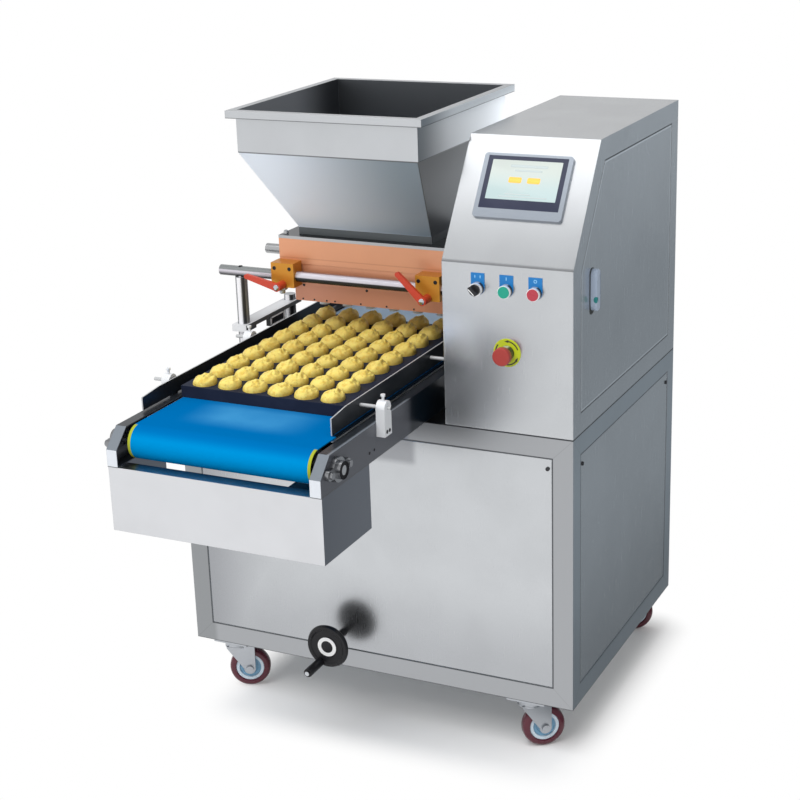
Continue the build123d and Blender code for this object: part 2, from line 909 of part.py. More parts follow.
# Electrical plate with its devices on the tower's back wall
with BuildPart() as control_plate:
    wall_y = y_back - sheet
    face_y = wall_y - plate_thickness
    plate_left = tower_left + control_plate_margin
    plate_right = x_right - control_plate_margin
    plate_low = base_top + control_plate_rise
    plate_high = plate_low + control_plate_height
    block((plate_left, face_y, plate_low), (plate_right, wall_y, plate_high))
    drive_low = plate_low + control_plate_margin / 2
    switch_low = drive_low + drive_unit_height + device_gap
    terminal_low = switch_low + switch_height + device_gap
    device_pitch = (plate_right - plate_left) / 2
    for column in range(2):
        left = plate_left + column * device_pitch + sheet
        right = left + device_pitch - 2 * sheet
        block((left, face_y - drive_unit_depth, drive_low), (right, face_y, drive_low + drive_unit_height))
        block((left, face_y - switch_depth, switch_low), (right, face_y, switch_low + switch_height))
    block(
        (plate_left + sheet, face_y - terminal_depth, terminal_low),
        (plate_right - sheet, face_y, terminal_low + terminal_height),
    )
pieces["control_plate"] = control_plate

# Conveyor side rails, folded channels with sloping noses
web_half = conveyor_width / 2 - rail_sheet
inner_half = conveyor_width / 2 - rail_width


def rail_outline(inset):
    """Side view of a rail drawn in by a distance, as (y, z) pairs."""
    slope = (rail_height - rail_nose) / rail_nose_slope
    shift = inset * (sqrt(1 + slope**2) - 1) / slope
    front = rail_front + inset
    rear = rail_rear - inset
    low = base_top + inset
    high = rail_top - inset
    nose = base_top + rail_nose - shift * slope
    top_front = rail_front + rail_nose_slope + shift
    top_rear = rail_rear - rail_nose_slope - shift
    return [(front, low), (front, nose), (top_front, high), (top_rear, high), (rear, nose), (rear, low)]


with BuildPart() as side_rails:
    for side in (-1, 1):
        outer = middle + side * conveyor_width / 2
        with BuildSketch(Plane.YZ.offset(outer)):
            with BuildLine():
                Polyline(*rail_outline(0), close=True)
            make_face()
        extrude(amount=-side * rail_width)
        with BuildSketch(Plane.YZ.offset(middle + side * web_half)):
            with BuildLine():
                Polyline(*rail_outline(rail_sheet), close=True)
            make_face()
        extrude(amount=-side * rail_width, mode=Mode.SUBTRACT)
        for y in (front_roller_y, rear_roller_y):
            bar(
                (middle + side * web_half, y, roller_z),
                (outer, y, roller_z),
                roller_shaft_radius + shaft_room,
                Mode.SUBTRACT,
            )
pieces["side_rails"] = side_rails

# Slider bed with its ribs and cross bars
bed_half = belt_width / 2 + bed_overhang
bed_top = belt_top - belt_thickness - slip_gap
bed_front = front_roller_y + roller_radius + bed_end_gap
bed_rear = rear_roller_y - roller_radius - bed_end_gap
bed_low = bed_top - bed_thickness
rib_low = bed_low - bed_rib
cross_step = (bed_rear - bed_front) / cross_bar_count

with BuildPart() as slider_bed:
    block((middle - bed_half, bed_front, bed_low), (middle + bed_half, bed_rear, bed_top))
    for x in (middle - bed_rib_spacing / 2, middle + bed_rib_spacing / 2):
        block((x - bed_thickness / 2, bed_front, rib_low), (x + bed_thickness / 2, bed_rear, bed_low))
    for step in range(cross_bar_count):
        y = bed_front + (step + 0.5) * cross_step
        block(
            (middle - web_half, y - cross_bar_width / 2, rib_low - cross_bar_height),
            (middle + web_half, y + cross_bar_width / 2, rib_low),
        )
pieces["slider_bed"] = slider_bed

# Endless belt round both rollers
with BuildPart() as conveyor_belt:
    with BuildSketch(Plane.YZ.offset(middle - belt_width / 2)):
        with Locations(((front_roller_y + rear_roller_y) / 2, roller_z)):
            span = rear_roller_y - front_roller_y
            SlotCenterToCenter(span, 2 * (roller_radius + slip_gap + belt_thickness))
            SlotCenterToCenter(span, 2 * (roller_radius + slip_gap), mode=Mode.SUBTRACT)
    extrude(amount=belt_width)
pieces["conveyor_belt"] = conveyor_belt

# Rollers; the front one carries the driven pulley
roller_half = belt_width / 2 - roller_end_gap
shaft_half = conveyor_width / 2 + bearing_boss
pulley_start = middle + roller_half + pulley_gap
pulley_end = pulley_start + pulley_width

for name, y in (("front_roller", front_roller_y), ("rear_roller", rear_roller_y)):
    with BuildPart() as roller:
        bar((middle - roller_half, y, roller_z), (middle + roller_half, y, roller_z), roller_radius)
        bar((middle - shaft_half, y, roller_z), (middle + shaft_half, y, roller_z), roller_shaft_radius)
    if name == "front_roller":
        with BuildPart() as driven_pulley:
            bar((pulley_start, y, roller_z), (pulley_end, y, roller_z), pulley_radius)
            bar(
                (pulley_start, y, roller_z),
                (pulley_end, y, roller_z),
                roller_shaft_radius + running_gap,
                Mode.SUBTRACT,
            )
        with BuildPart() as front_roller:
            add(roller.part)
            add(driven_pulley.part)
        roller = front_roller
    pieces[name] = roller

# Two-bolt flange bearings on the outside of the rails
with BuildPart() as flange_bearings:
    for side in (-1, 1):
        seat = middle + side * conveyor_width / 2
        for y in (front_roller_y, rear_roller_y):
            with BuildSketch(Plane.YZ.offset(seat)):
                with Locations((y, roller_z)):
                    Circle(bearing_radius)
                    SlotCenterToCenter(2 * bearing_ear_reach, 2 * bearing_ear_radius)
            extrude(amount=side * bearing_flange)
            bar((seat, y, roller_z), (seat + side * bearing_boss, y, roller_z), bearing_boss_radius)
            bar(
                (seat, y, roller_z),
                (seat + side * bearing_boss, y, roller_z),
                roller_shaft_radius + running_gap,
                Mode.SUBTRACT,
            )
            # bolts through the ears, each a piece of its own
            for ear in (-1, 1):
                ear_y = y + ear * bearing_ear_reach
                head_from = seat + side * (bearing_flange + slip_gap)
                bar(
                    (seat, ear_y, roller_z),
                    (seat + side * bearing_flange, ear_y, roller_z),
                    bearing_bolt_radius + slide_gap,
                    Mode.SUBTRACT,
                )
                bar((seat, ear_y, roller_z), (head_from, ear_y, roller_z), bearing_bolt_radius)
                bar(
                    (head_from, ear_y, roller_z),
                    (head_from + side * bearing_bolt_head, ear_y, roller_z),
                    bearing_bolt_head_radius,
                )
pieces["flange_bearings"] = flange_bearings

# Open-topped cover under the conveyor's nose
cover_half = conveyor_width / 2
cover_front = rail_front + sheet
cover_back = cover_front + cover_depth
cover_low = base_top - cover_height

with BuildPart() as front_cover:
    block((middle - cover_half, cover_front, cover_low), (middle + cover_half, cover_back, base_top))
    block(
        (middle - cover_half + sheet, cover_front + sheet, cover_low + sheet),
        (middle + cover_half - sheet, cover_back, base_top),
        Mode.SUBTRACT,
    )
    block(
        (middle - cover_half + sheet, cover_front + sheet, base_top - sheet),
        (middle + cover_half - sheet, cover_front + cover_lip, base_top),
    )
pieces["front_cover"] = front_cover

# Conveyor gearmotor in the cover, its pulley and the toothed belt
motor_y = front_roller_y + motor_back
motor_z = cover_low + sheet + motor_rise
motor_box_end = pulley_start - motor_pulley_gap
motor_box_start = motor_box_end - motor_box_length

with BuildPart() as conveyor_motor:
    block(
        (motor_box_start, motor_y - motor_box / 2, cover_low + sheet),
        (motor_box_end, motor_y + motor_box / 2, motor_z + motor_box / 2),
    )
    bar((motor_box_start - motor_length, motor_y, motor_z), (motor_box_start, motor_y, motor_z), motor_radius)
    bar(
        (motor_box_end - motor_shaft_depth - slip_gap, motor_y, motor_z),
        (motor_box_end, motor_y, motor_z),
        motor_shaft_radius + running_gap,
        Mode.SUBTRACT,
    )
pieces["conveyor_motor"] = conveyor_motor

with BuildPart() as motor_pulley:
    bar((pulley_start, motor_y, motor_z), (pulley_end, motor_y, motor_z), pulley_radius)
    bar(
        (motor_box_end - motor_shaft_depth, motor_y, motor_z),
        (pulley_start, motor_y, motor_z),
        motor_shaft_radius,
    )
pieces["motor_pulley"] = motor_pulley

belt_run = Vector(0, motor_y - front_roller_y, motor_z - roller_z)
belt_tilt = Plane(
    origin=(pulley_start, (motor_y + front_roller_y) / 2, (motor_z + roller_z) / 2),
    x_dir=belt_run,
    z_dir=(1, 0, 0),
)
with BuildPart() as drive_belt:
    with BuildSketch(belt_tilt):
        SlotCenterToCenter(belt_run.length, 2 * (pulley_radius + slip_gap + drive_belt_thickness))
        SlotCenterToCenter(belt_run.length, 2 * (pulley_radius + slip_gap), mode=Mode.SUBTRACT)
    extrude(amount=pulley_width)
pieces["drive_belt"] = drive_belt

# Side guides on rods that slide in brackets
guide_low = belt_top + guide_lift
guide_start = y_front - guide_front
guide_end = rail_rear - guide_rear_stop
guide_rod_z = guide_low + guide_rod_rise
bracket_near = conveyor_width / 2
bracket_far = bracket_near + bracket_thickness
station_y = [y_front + station for station in guide_stations]

for name, side, height, rod_tail in (
    ("left_guide", -1, left_guide_height, left_rod_tail),
    ("right_guide", 1, right_guide_height, right_rod_tail),
):
    inner = tray_x + side * (tray_width / 2 + guide_gap)
    guide_high = guide_low + height
    with BuildPart() as guide:
        with BuildSketch(Plane.YZ.offset(inner)):
            with BuildLine():
                Polyline(
                    (guide_start, guide_low),
                    (guide_start, guide_high - guide_chamfer_share * height),
                    (guide_start + guide_chamfer_length, guide_high),
                    (guide_end, guide_high),
                    (guide_end, guide_low),
                    close=True,
                )
            make_face()
        extrude(amount=side * guide_plate)
        for y in station_y:
            bar(
                (inner + side * guide_plate, y, guide_rod_z),
                (middle + side * (bracket_far + rod_tail), y, guide_rod_z),
                guide_rod_radius,
            )
    pieces[name] = guide

with BuildPart() as guide_blocks:
    block_low = base_top + bracket_rise
    block_top = guide_rod_z + bracket_width / 2
    for side in (-1, 1):
        screw_x = middle + side * (bracket_near + bracket_far) / 2
        for y in station_y:
            with BuildSketch(Plane.YZ.offset(middle + side * bracket_near)):
                with Locations((y, (block_low + guide_rod_z) / 2)):
                    Rectangle(bracket_width, guide_rod_z - block_low)
                with Locations((y, guide_rod_z)):
                    Circle(bracket_width / 2)
                    Circle(guide_rod_radius + running_gap, mode=Mode.SUBTRACT)
            extrude(amount=side * bracket_thickness)
            # lock screw in its hole in the crown
            bar(
                (screw_x, y, block_top - lock_screw_depth - slip_gap),
                (screw_x, y, block_top),
                lock_screw_radius + slide_gap,
                Mode.SUBTRACT,
            )
            lock_top = block_top + lock_screw_height
            bar((screw_x, y, block_top - lock_screw_depth), (screw_x, y, lock_top), lock_screw_radius)
            bar((screw_x, y, lock_top - lock_screw_head), (screw_x, y, lock_top), lock_screw_head_radius)
pieces["guide_blocks"] = guide_blocks

# Baking tray with folded edges, and the dough on it
with BuildPart() as baking_tray:
    tray_left = tray_x - tray_width / 2
    tray_right = tray_x + tray_width / 2
    tray_end = tray_start + tray_length
    block((tray_left, tray_start, tray_bottom), (tray_right, tray_end, tray_top))
    block(
        (tray_left + tray_sheet, tray_start + tray_sheet, tray_bottom),
        (tray_right - tray_sheet, tray_end - tray_sheet, tray_top - tray_sheet),
        Mode.SUBTRACT,
    )
pieces["baking_tray"] = baking_tray

with BuildPart() as dough:
    with BuildSketch(Plane.XZ):
        with BuildLine():
            Line((0, 0), (dough_radius - sheet, 0))
            Spline(
                (dough_radius - sheet, 0),
                (dough_radius, dough_height / 6),
                (dough_radius * 0.72, dough_height * 0.55),
                (dough_peak_radius, dough_height * 0.84),
                (0, dough_height),
            )
            Line((0, dough_height), (0, 0))
        make_face()
    revolve(axis=Axis.Z)
dough_middle = tray_start + dough_first_row + dough_pitch_y * (dough_rows - 1) / 2
with BuildPart(Plane((tray_x, dough_middle, tray_top))) as dough_portions:
    with GridLocations(dough_pitch_x, dough_pitch_y, dough_columns, dough_rows):
        add(dough.part)
pieces["dough_portions"] = dough_portions

# Depositing head: roller housing with the gear case on its right
case_end = middle + head_width / 2 + gear_case
housing_right = middle + head_width / 2
housing_left = middle - head_width / 2
lid_bottom = head_top - head_top_plate
feed_axes = (feed_front_y, feed_rear_y)

with BuildPart() as head_body:
    block((housing_left, plate_front_y, lid_bottom), (housing_right, head_rear_y, head_top))
    for start, end in ((housing_left, housing_left + head_side), (housing_right - head_side, housing_right)):
        block((start, plate_back_y, head_bottom), (end, head_rear_y, lid_bottom))
    block((housing_left, head_rear_y - head_rear, head_bottom), (case_end, head_rear_y, lid_bottom))
    block((housing_right, plate_back_y, head_bottom), (case_end, head_rear_y, head_bottom + gear_case_floor))
    block((case_end - gear_case_end, plate_back_y, head_bottom), (case_end, head_rear_y, lid_bottom))
    block(
        (
            middle - mouth_width / 2 + hopper_sheet,
            head_y - mouth_depth / 2 + hopper_sheet,
            lid_bottom,
        ),
        (
            middle + mouth_width / 2 - hopper_sheet,
            head_y + mouth_depth / 2 - hopper_sheet,
            head_top,
        ),
        Mode.SUBTRACT,
    )
    for y in feed_axes:
        bar(
            (housing_left, y, feed_z),
            (housing_right, y, feed_z),
            feed_shaft_radius + running_gap,
            Mode.SUBTRACT,
        )
    bar(
        (case_end - gear_case_end, feed_front_y, feed_z),
        (case_end, feed_front_y, feed_z),
        feed_shaft_radius + running_gap,
        Mode.SUBTRACT,
    )
pieces["head_body"] = head_body

with BuildPart() as upper_front_plate:
    block((housing_left, plate_front_y, head_bottom), (housing_right, plate_back_y, lid_bottom))
    block(
        (housing_left, plate_front_y, head_bottom),
        (housing_right, plate_front_y + front_plate_step, head_bottom + front_plate_step_height),
        Mode.SUBTRACT,
    )
pieces["upper_front_plate"] = upper_front_plate

nozzle_x = [tray_x + dough_pitch_x * (index - (dough_columns - 1) / 2) for index in range(dough_columns)]

with BuildPart() as nozzle_manifold:
    block(
        (middle - manifold_left, plate_front_y + manifold_setback, manifold_bottom),
        (middle + manifold_right, head_rear_y - manifold_setback, head_bottom),
    )
    # behind its nose the block is wide enough for the outermost nozzle
    block(
        (nozzle_x[0] - manifold_edge, plate_front_y + manifold_setback + manifold_nose, manifold_bottom),
        (nozzle_x[-1] + manifold_edge, head_rear_y - manifold_setback, head_bottom),
    )
    block(
        (nozzle_x[0] - manifold_hole_radius, head_y - manifold_trough_front, head_bottom - manifold_trough),
        (nozzle_x[-1] + manifold_hole_radius, head_y + manifold_trough_back, head_bottom),
        Mode.SUBTRACT,
    )
    for x in nozzle_x:
        bar((x, nozzle_y, manifold_bottom), (x, nozzle_y, head_bottom), manifold_hole_radius, Mode.SUBTRACT)
pieces["nozzle_manifold"] = nozzle_manifold

with BuildPart() as nozzles:
    for x in nozzle_x:
        bar((x, nozzle_y, nozzle_tip), (x, nozzle_y, manifold_bottom), nozzle_radius)
        collar_low = manifold_bottom - nozzle_collar
        bar((x, nozzle_y, collar_low), (x, nozzle_y, manifold_bottom), nozzle_collar_radius)
        bar((x, nozzle_y, nozzle_tip), (x, nozzle_y, manifold_bottom), nozzle_bore_radius, Mode.SUBTRACT)
pieces["nozzles"] = nozzles

# Fluted feed rollers, each with its gear
feed_left = middle - chamber_half + feed_end_gap
feed_right = middle + chamber_half - feed_end_gap
gear_start = housing_right + gear_gap
feed_shafts = {
    "feed_roller_front": (feed_front_y, housing_left, case_end + feed_shaft_depth, 0.0),
    "feed_roller_rear": (feed_rear_y, housing_left + slip_gap, gear_start + gear_width, 180 / gear_teeth),
}
for name, (y, shaft_from, shaft_to, phase) in feed_shafts.items():
    with BuildPart() as core:
        with BuildSketch(Plane.YZ.offset(feed_left)):
            with Locations((y, feed_z)):
                Circle(feed_radius)
                with PolarLocations(feed_radius + feed_flute_radius / 2, feed_flutes):
                    Circle(feed_flute_radius, mode=Mode.SUBTRACT)
        extrude(amount=feed_right - feed_left)
        bar((shaft_from, y, feed_z), (shaft_to, y, feed_z), feed_shaft_radius)
        if name == "feed_roller_front":
            # bare end outside the head, turned down behind a narrow relief
            relief_from = housing_left - feed_relief
            bar((relief_from, y, feed_z), (housing_left, y, feed_z), feed_relief_radius)
            bar((housing_left - feed_stub, y, feed_z), (relief_from, y, feed_z), feed_stub_radius)
    with BuildPart() as gear:
        with BuildSketch(Plane.YZ.offset(gear_start)):
            with BuildLine():
                Polyline(*[(y + a, feed_z + b) for a, b in gear_profile(phase)], close=True)
            make_face()
            with Locations((y, feed_z)):
                Circle(feed_shaft_radius + running_gap, mode=Mode.SUBTRACT)
        extrude(amount=gear_width)
    with BuildPart() as feed_roller:
        add(core.part)
        add(gear.part)
    pieces[name] = feed_roller

# Feed gearmotor, bolted to the gear case and reaching into the tower
with BuildPart() as feed_motor:
    block(
        (case_end, feed_front_y - feed_box_half, feed_z - feed_box_half),
        (case_end + feed_box_length, feed_front_y + feed_box_half, feed_z + feed_box_half),
    )
    bar(
        (case_end + feed_box_length, feed_front_y, feed_z),
        (case_end + feed_box_length + feed_motor_length, feed_front_y, feed_z),
        feed_motor_radius,
    )
    bar(
        (case_end, feed_front_y, feed_z),
        (case_end + feed_shaft_depth + slip_gap, feed_front_y, feed_z),
        feed_shaft_radius + running_gap,
        Mode.SUBTRACT,
    )
pieces["feed_motor"] = feed_motor

# Hopper: rim, collar, funnel and neck in one welded sheet
collar_width = hopper_width - 2 * hopper_overhang
collar_depth = hopper_depth - 2 * hopper_overhang
hopper_y = y_front + hopper_front + hopper_depth / 2
neck_top = head_top + hopper_neck
funnel_top = neck_top + hopper_funnel
collar_top = funnel_top + hopper_collar
rim_top = collar_top + hopper_rim


def hopper_layer(height, width, depth, y):
    """Rectangle at one level of the hopper."""
    with BuildSketch(Plane((middle, y, height))) as layer:
        Rectangle(width, depth)
    return layer.sketch


hopper_wall = 2 * hopper_sheet
with BuildPart() as hopper:
    extrude(hopper_layer(head_top, mouth_width, mouth_depth, head_y), amount=hopper_neck)
    loft(
        [
            hopper_layer(neck_top, mouth_width, mouth_depth, head_y),
            hopper_layer(funnel_top, collar_width, collar_depth, hopper_y),
        ]
    )
    extrude(hopper_layer(funnel_top, collar_width, collar_depth, hopper_y), amount=hopper_collar + hopper_rim)
    extrude(hopper_layer(collar_top, hopper_width, hopper_depth, hopper_y), amount=hopper_rim)
    extrude(
        hopper_layer(head_top, mouth_width - hopper_wall, mouth_depth - hopper_wall, head_y),
        amount=hopper_neck,
        mode=Mode.SUBTRACT,
    )
    loft(
        [
            hopper_layer(neck_top, mouth_width - hopper_wall, mouth_depth - hopper_wall, head_y),
            hopper_layer(funnel_top, collar_width - hopper_wall, collar_depth - hopper_wall, hopper_y),
        ],
        mode=Mode.SUBTRACT,
    )
    extrude(
        hopper_layer(funnel_top, collar_width - hopper_wall, collar_depth - hopper_wall, hopper_y),
        amount=hopper_collar + hopper_rim,
        mode=Mode.SUBTRACT,
    )
    # the rim is folded sheet, hollow underneath
    with BuildSketch(Plane((middle, hopper_y, collar_top))):
        Rectangle(hopper_width - hopper_wall, hopper_depth - hopper_wall)
        Rectangle(collar_width, collar_depth, mode=Mode.SUBTRACT)
    extrude(amount=hopper_rim - hopper_sheet, mode=Mode.SUBTRACT)
pieces["hopper"] = hopper

# Clamp rod, its blocks and the ratchet levers
rod_start = middle - rod_left
rod_end = middle + rod_right

with BuildPart() as clamp_rod:
    bar((rod_start, rod_y, rod_z), (rod_end, rod_y, rod_z), rod_radius)
    for x, y in posts[:2]:
        bar(
            (x, y, rod_z - rod_radius),
            (x, y, rod_z - rod_radius + post_spigot + slip_gap),
            post_spigot_radius + slide_gap,
            Mode.SUBTRACT,
        )
pieces["clamp_rod"] = clamp_rod

clamp_x = {"left": middle - clamp_spacing / 2, "right": middle + clamp_spacing / 2}
lever_z = rod_z - lever_drop
with BuildPart() as clamp_blocks:
    for x in clamp_x.values():
        block(
            (x - clamp_width / 2, clamp_face_y, clamp_low),
            (x + clamp_width / 2, plate_front_y, clamp_low + clamp_height),
        )
        bar(
            (x - clamp_width / 2, rod_y, rod_z),
            (x + clamp_width / 2, rod_y, rod_z),
            rod_radius + running_gap,
            Mode.SUBTRACT,
        )
        bar(
            (x, clamp_face_y, lever_z),
            (x, clamp_face_y + lever_stud + slip_gap, lever_z),
            lever_stud_radius + running_gap,
            Mode.SUBTRACT,
        )
pieces["clamp_blocks"] = clamp_blocks

for side, angle in (("left", left_lever_angle), ("right", right_lever_angle)):
    x = clamp_x[side]
    hub_back = clamp_face_y - slip_gap
    hub_face = hub_back - lever_hub_length
    arm_plane = Plane(
        origin=(x, hub_face + lever_arm, lever_z),
        x_dir=(cos(radians(angle)), 0, sin(radians(angle))),
        z_dir=(0, -1, 0),
    )
    with BuildPart() as lever:
        bar((x, hub_back, lever_z), (x, hub_face, lever_z), lever_hub_radius)
        with BuildSketch(arm_plane):
            with BuildLine():
                Polyline(
                    (0, -lever_root / 2),
                    (lever_length - lever_tip_radius, -lever_tip_radius),
                    (lever_length - lever_tip_radius, lever_tip_radius),
                    (0, lever_root / 2),
                    close=True,
                )
            make_face()
            with Locations((lever_length - lever_tip_radius, 0)):
                Circle(lever_tip_radius)
        extrude(amount=lever_arm)
        bar((x, hub_back, lever_z), (x, clamp_face_y + lever_stud, lever_z), lever_stud_radius)
    pieces[f"{side}_clamp_lever"] = lever

# Lift: posts, side bars, plate, screw and jack
plate_top_z = lift_plate_z + lift_plate
with BuildPart() as lift_posts:
    for x, y in posts[:2]:
        shoulder = rod_z - rod_radius - slip_gap
        bar((x, y, plate_top_z), (x, y, shoulder), post_radius)
        bar((x, y, shoulder), (x, y, rod_z - rod_radius + post_spigot), post_spigot_radius)
    for x, y in posts[2:]:
        bar((x, y, plate_top_z), (x, y, base_top + rear_post_rise), post_radius)
pieces["lift_posts"] = lift_posts

bar_low = base_top + side_bar_rise
with BuildPart() as side_bars:
    for front, back in ((posts[0], posts[2]), (posts[1], posts[3])):
        block(
            (front[0] - side_bar_width / 2, front[1] - side_bar_end, bar_low),
            (front[0] + side_bar_width / 2, back[1] + side_bar_end, bar_low + side_bar),
        )
        # the bar is deeper where it grips the front post
        block(
            (front[0] - side_bar_width / 2, front[1] - side_bar_end, bar_low - side_bar_drop),
            (front[0] + side_bar_width / 2, front[1] + side_bar_end, bar_low),
        )
        for x, y in (front, back):
            bar((x, y, bar_low - side_bar_drop), (x, y, bar_low + side_bar), post_radius + slide_gap, Mode.SUBTRACT)
pieces["side_bars"] = side_bars

with BuildPart() as tray_sensor:
    x, y = posts[2]
    sensor_y = y - sensor_forward
    sensor_face = x + side_bar_width / 2
    block(
        (sensor_face - sensor_width, sensor_y - sensor_length / 2, bar_low - sensor_height),
        (sensor_face, sensor_y + sensor_length / 2, bar_low),
    )
pieces["tray_sensor"] = tray_sensor

with BuildPart() as lift_platform:
    block(
        (posts[0][0] - lift_plate_margin, posts[0][1] - lift_plate_margin, lift_plate_z),
        (posts[3][0] + lift_plate_margin, posts[3][1] + lift_plate_margin, plate_top_z),
    )
    bar((handwheel_x, jack_y, plate_top_z), (handwheel_x, jack_y, plate_top_z + lift_nut), lift_nut_radius)
    bar(
        (handwheel_x, jack_y, lift_plate_z),
        (handwheel_x, jack_y, plate_top_z + lift_nut),
        screw_radius + slide_gap,
        Mode.SUBTRACT,
    )
pieces["lift_platform"] = lift_platform

jack_top = floor_top + jack_height
screw_top = plate_top_z + lift_nut + lift_travel + screw_top_room
with BuildPart() as lift_screw:
    bar((handwheel_x, jack_y, jack_top - screw_seat), (handwheel_x, jack_y, screw_top), screw_radius)
    bar(
        (handwheel_x, jack_y, jack_top + slip_gap),
        (handwheel_x, jack_y, jack_top + slip_gap + screw_collar),
        screw_collar_radius,
    )
pieces["lift_screw"] = lift_screw

jack_front = jack_y - jack_depth / 2
with BuildPart() as jack_housing:
    block(
        (handwheel_x - jack_width / 2, jack_front, floor_top),
        (handwheel_x + jack_width / 2, jack_y + jack_depth / 2, jack_top),
    )
    bar(
        (handwheel_x, jack_y, jack_top - screw_seat - slip_gap),
        (handwheel_x, jack_y, jack_top),
        screw_radius + running_gap,
        Mode.SUBTRACT,
    )
    bar(
        (handwheel_x, jack_front, handwheel_z),
        (handwheel_x, jack_front + handwheel_shaft_seat + slip_gap, handwheel_z),
        handwheel_shaft_radius + running_gap,
        Mode.SUBTRACT,
    )
pieces["jack_housing"] = jack_housing

# Handwheel on its shaft, with a turning crank grip
wheel_y = y_front - handwheel_stand
wheel_face = wheel_y - handwheel_rim / 2
crank_x = handwheel_x + crank_radius * cos(radians(crank_angle))
crank_z = handwheel_z + crank_radius * sin(radians(crank_angle))
grip_start = wheel_face - grip_gap
grip_end = grip_start - grip_length
pin_end = grip_end - grip_gap

with BuildPart() as wheel_disc:
    with BuildSketch(Plane.YZ.offset(handwheel_x)):
        with BuildLine():
            Polyline(
                (wheel_y - handwheel_cap, handwheel_z),
                (wheel_y - handwheel_cap, handwheel_z + handwheel_hub_radius),
                (wheel_y - handwheel_web / 2, handwheel_z + handwheel_hub_radius),
                (wheel_y - handwheel_web / 2, handwheel_z + handwheel_radius - handwheel_rim),
                (wheel_face, handwheel_z + handwheel_radius - handwheel_rim * 0.75),
                (wheel_face, handwheel_z + handwheel_radius - handwheel_rim * 0.25),
                (wheel_y, handwheel_z + handwheel_radius),
                (wheel_y + handwheel_rim / 2, handwheel_z + handwheel_radius - handwheel_rim * 0.25),
                (wheel_y + handwheel_rim / 2, handwheel_z + handwheel_radius - handwheel_rim),
                (wheel_y + handwheel_web / 2, handwheel_z + handwheel_hub_radius),
                (wheel_y + handwheel_hub, handwheel_z + handwheel_cap_radius),
                (wheel_y + handwheel_hub, handwheel_z),
                close=True,
            )
        make_face()
    revolve(axis=Axis((handwheel_x, wheel_y, handwheel_z), (0, 1, 0)))
    bar(
        (handwheel_x, wheel_y, handwheel_z),
        (handwheel_x, wheel_y + handwheel_hub, handwheel_z),
        handwheel_shaft_radius + running_gap,
        Mode.SUBTRACT,
    )
    bar((crank_x, wheel_y, crank_z), (crank_x, pin_end, crank_z), crank_pin_radius)
    bar((crank_x, pin_end, crank_z), (crank_x, pin_end - grip_screw, crank_z), grip_screw_radius)
with BuildPart() as wheel_shaft:
    bar(
        (handwheel_x, wheel_y + slip_gap, handwheel_z),
        (handwheel_x, jack_front + handwheel_shaft_seat, handwheel_z),
        handwheel_shaft_radius,
    )
with BuildPart() as handwheel:
    add(wheel_disc.part)
    add(wheel_shaft.part)
pieces["handwheel"] = handwheel

with BuildPart() as crank_grip:
    bar((crank_x, grip_start, crank_z), (crank_x, grip_end, crank_z), grip_radius)
    bar(
        (crank_x, grip_start, crank_z),
        (crank_x, grip_end, crank_z),
        crank_pin_radius + running_gap,
        Mode.SUBTRACT,
    )
    chamfer(crank_grip.edges().filter_by(GeomType.CIRCLE).sort_by(SortBy.RADIUS)[-2:], grip_gap)
pieces["crank_grip"] = crank_grip

# One file for each piece
os.makedirs("parts", exist_ok=True)
for node, piece in pieces.items():
    piece.part.label = node
    export_step(piece.part, f"parts/{node}.step")
print(len(pieces), "nodes written")
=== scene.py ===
import json
import random
from math import atan2, cos, exp, pi, radians, sin, tau

import bmesh
import bpy
from mathutils import Matrix, Vector, noise


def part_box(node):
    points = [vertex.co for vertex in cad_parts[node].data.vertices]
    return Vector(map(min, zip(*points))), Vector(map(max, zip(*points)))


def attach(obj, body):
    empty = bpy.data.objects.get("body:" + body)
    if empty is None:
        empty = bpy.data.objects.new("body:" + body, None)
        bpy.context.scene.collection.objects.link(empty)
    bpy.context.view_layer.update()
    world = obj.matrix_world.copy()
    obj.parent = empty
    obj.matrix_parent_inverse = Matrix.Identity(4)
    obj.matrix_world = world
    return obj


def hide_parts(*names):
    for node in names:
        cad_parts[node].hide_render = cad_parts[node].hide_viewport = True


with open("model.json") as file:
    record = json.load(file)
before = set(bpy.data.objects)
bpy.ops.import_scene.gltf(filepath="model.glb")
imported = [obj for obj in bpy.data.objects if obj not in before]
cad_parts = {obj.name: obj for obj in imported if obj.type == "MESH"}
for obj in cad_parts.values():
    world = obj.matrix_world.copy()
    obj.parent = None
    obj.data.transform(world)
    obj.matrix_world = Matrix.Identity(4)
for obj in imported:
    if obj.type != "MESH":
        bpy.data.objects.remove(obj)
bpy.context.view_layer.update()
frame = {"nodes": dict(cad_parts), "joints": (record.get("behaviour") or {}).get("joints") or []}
nodes = frame["nodes"]
joints = {joint["name"]: joint for joint in frame["joints"]}
mm = 0.001

# Camera, solved from the parallel edges of the photo
camera_place = Vector((1.65129, -3.32871, 2.01128))
camera_azimuth = radians(26.30)
camera_elevation = radians(18.68)
camera_roll = radians(-1.92)
camera_lens = 76.35
camera_sensor = 36.0

# Colours, linear
steel_tint = (0.6, 0.618, 0.64)
steel_highlight_tint = (0.88, 0.9, 0.93)
inside_shade_tint = (0.18, 0.192, 0.208)
inside_wall_light_tint = (0.215, 0.228, 0.25)
inside_corner_shade_tint = (0.02, 0.022, 0.026)
rail_tint = (0.19, 0.215, 0.245)
rail_top_reflection_tint = (0.02, 0.024, 0.03)
rail_end_light_tint = (0.64, 0.67, 0.72)
rail_side_shade_tint = (0.07, 0.076, 0.092)
cover_tint = (0.72, 0.73, 0.755)
cover_side_shade_tint = (0.148, 0.164, 0.19)
bearing_tint = (0.3, 0.308, 0.322)
bracket_tint = (0.76, 0.775, 0.8)
nozzle_light_tint = (0.8, 0.88, 0.96)
head_top_shade_tint = (0.11, 0.115, 0.125)
latch_tint = (0.36, 0.43, 0.54)
latch_back_shade_tint = (0.2, 0.24, 0.3)
funnel_light_tint = (0.825, 0.895, 1.0)
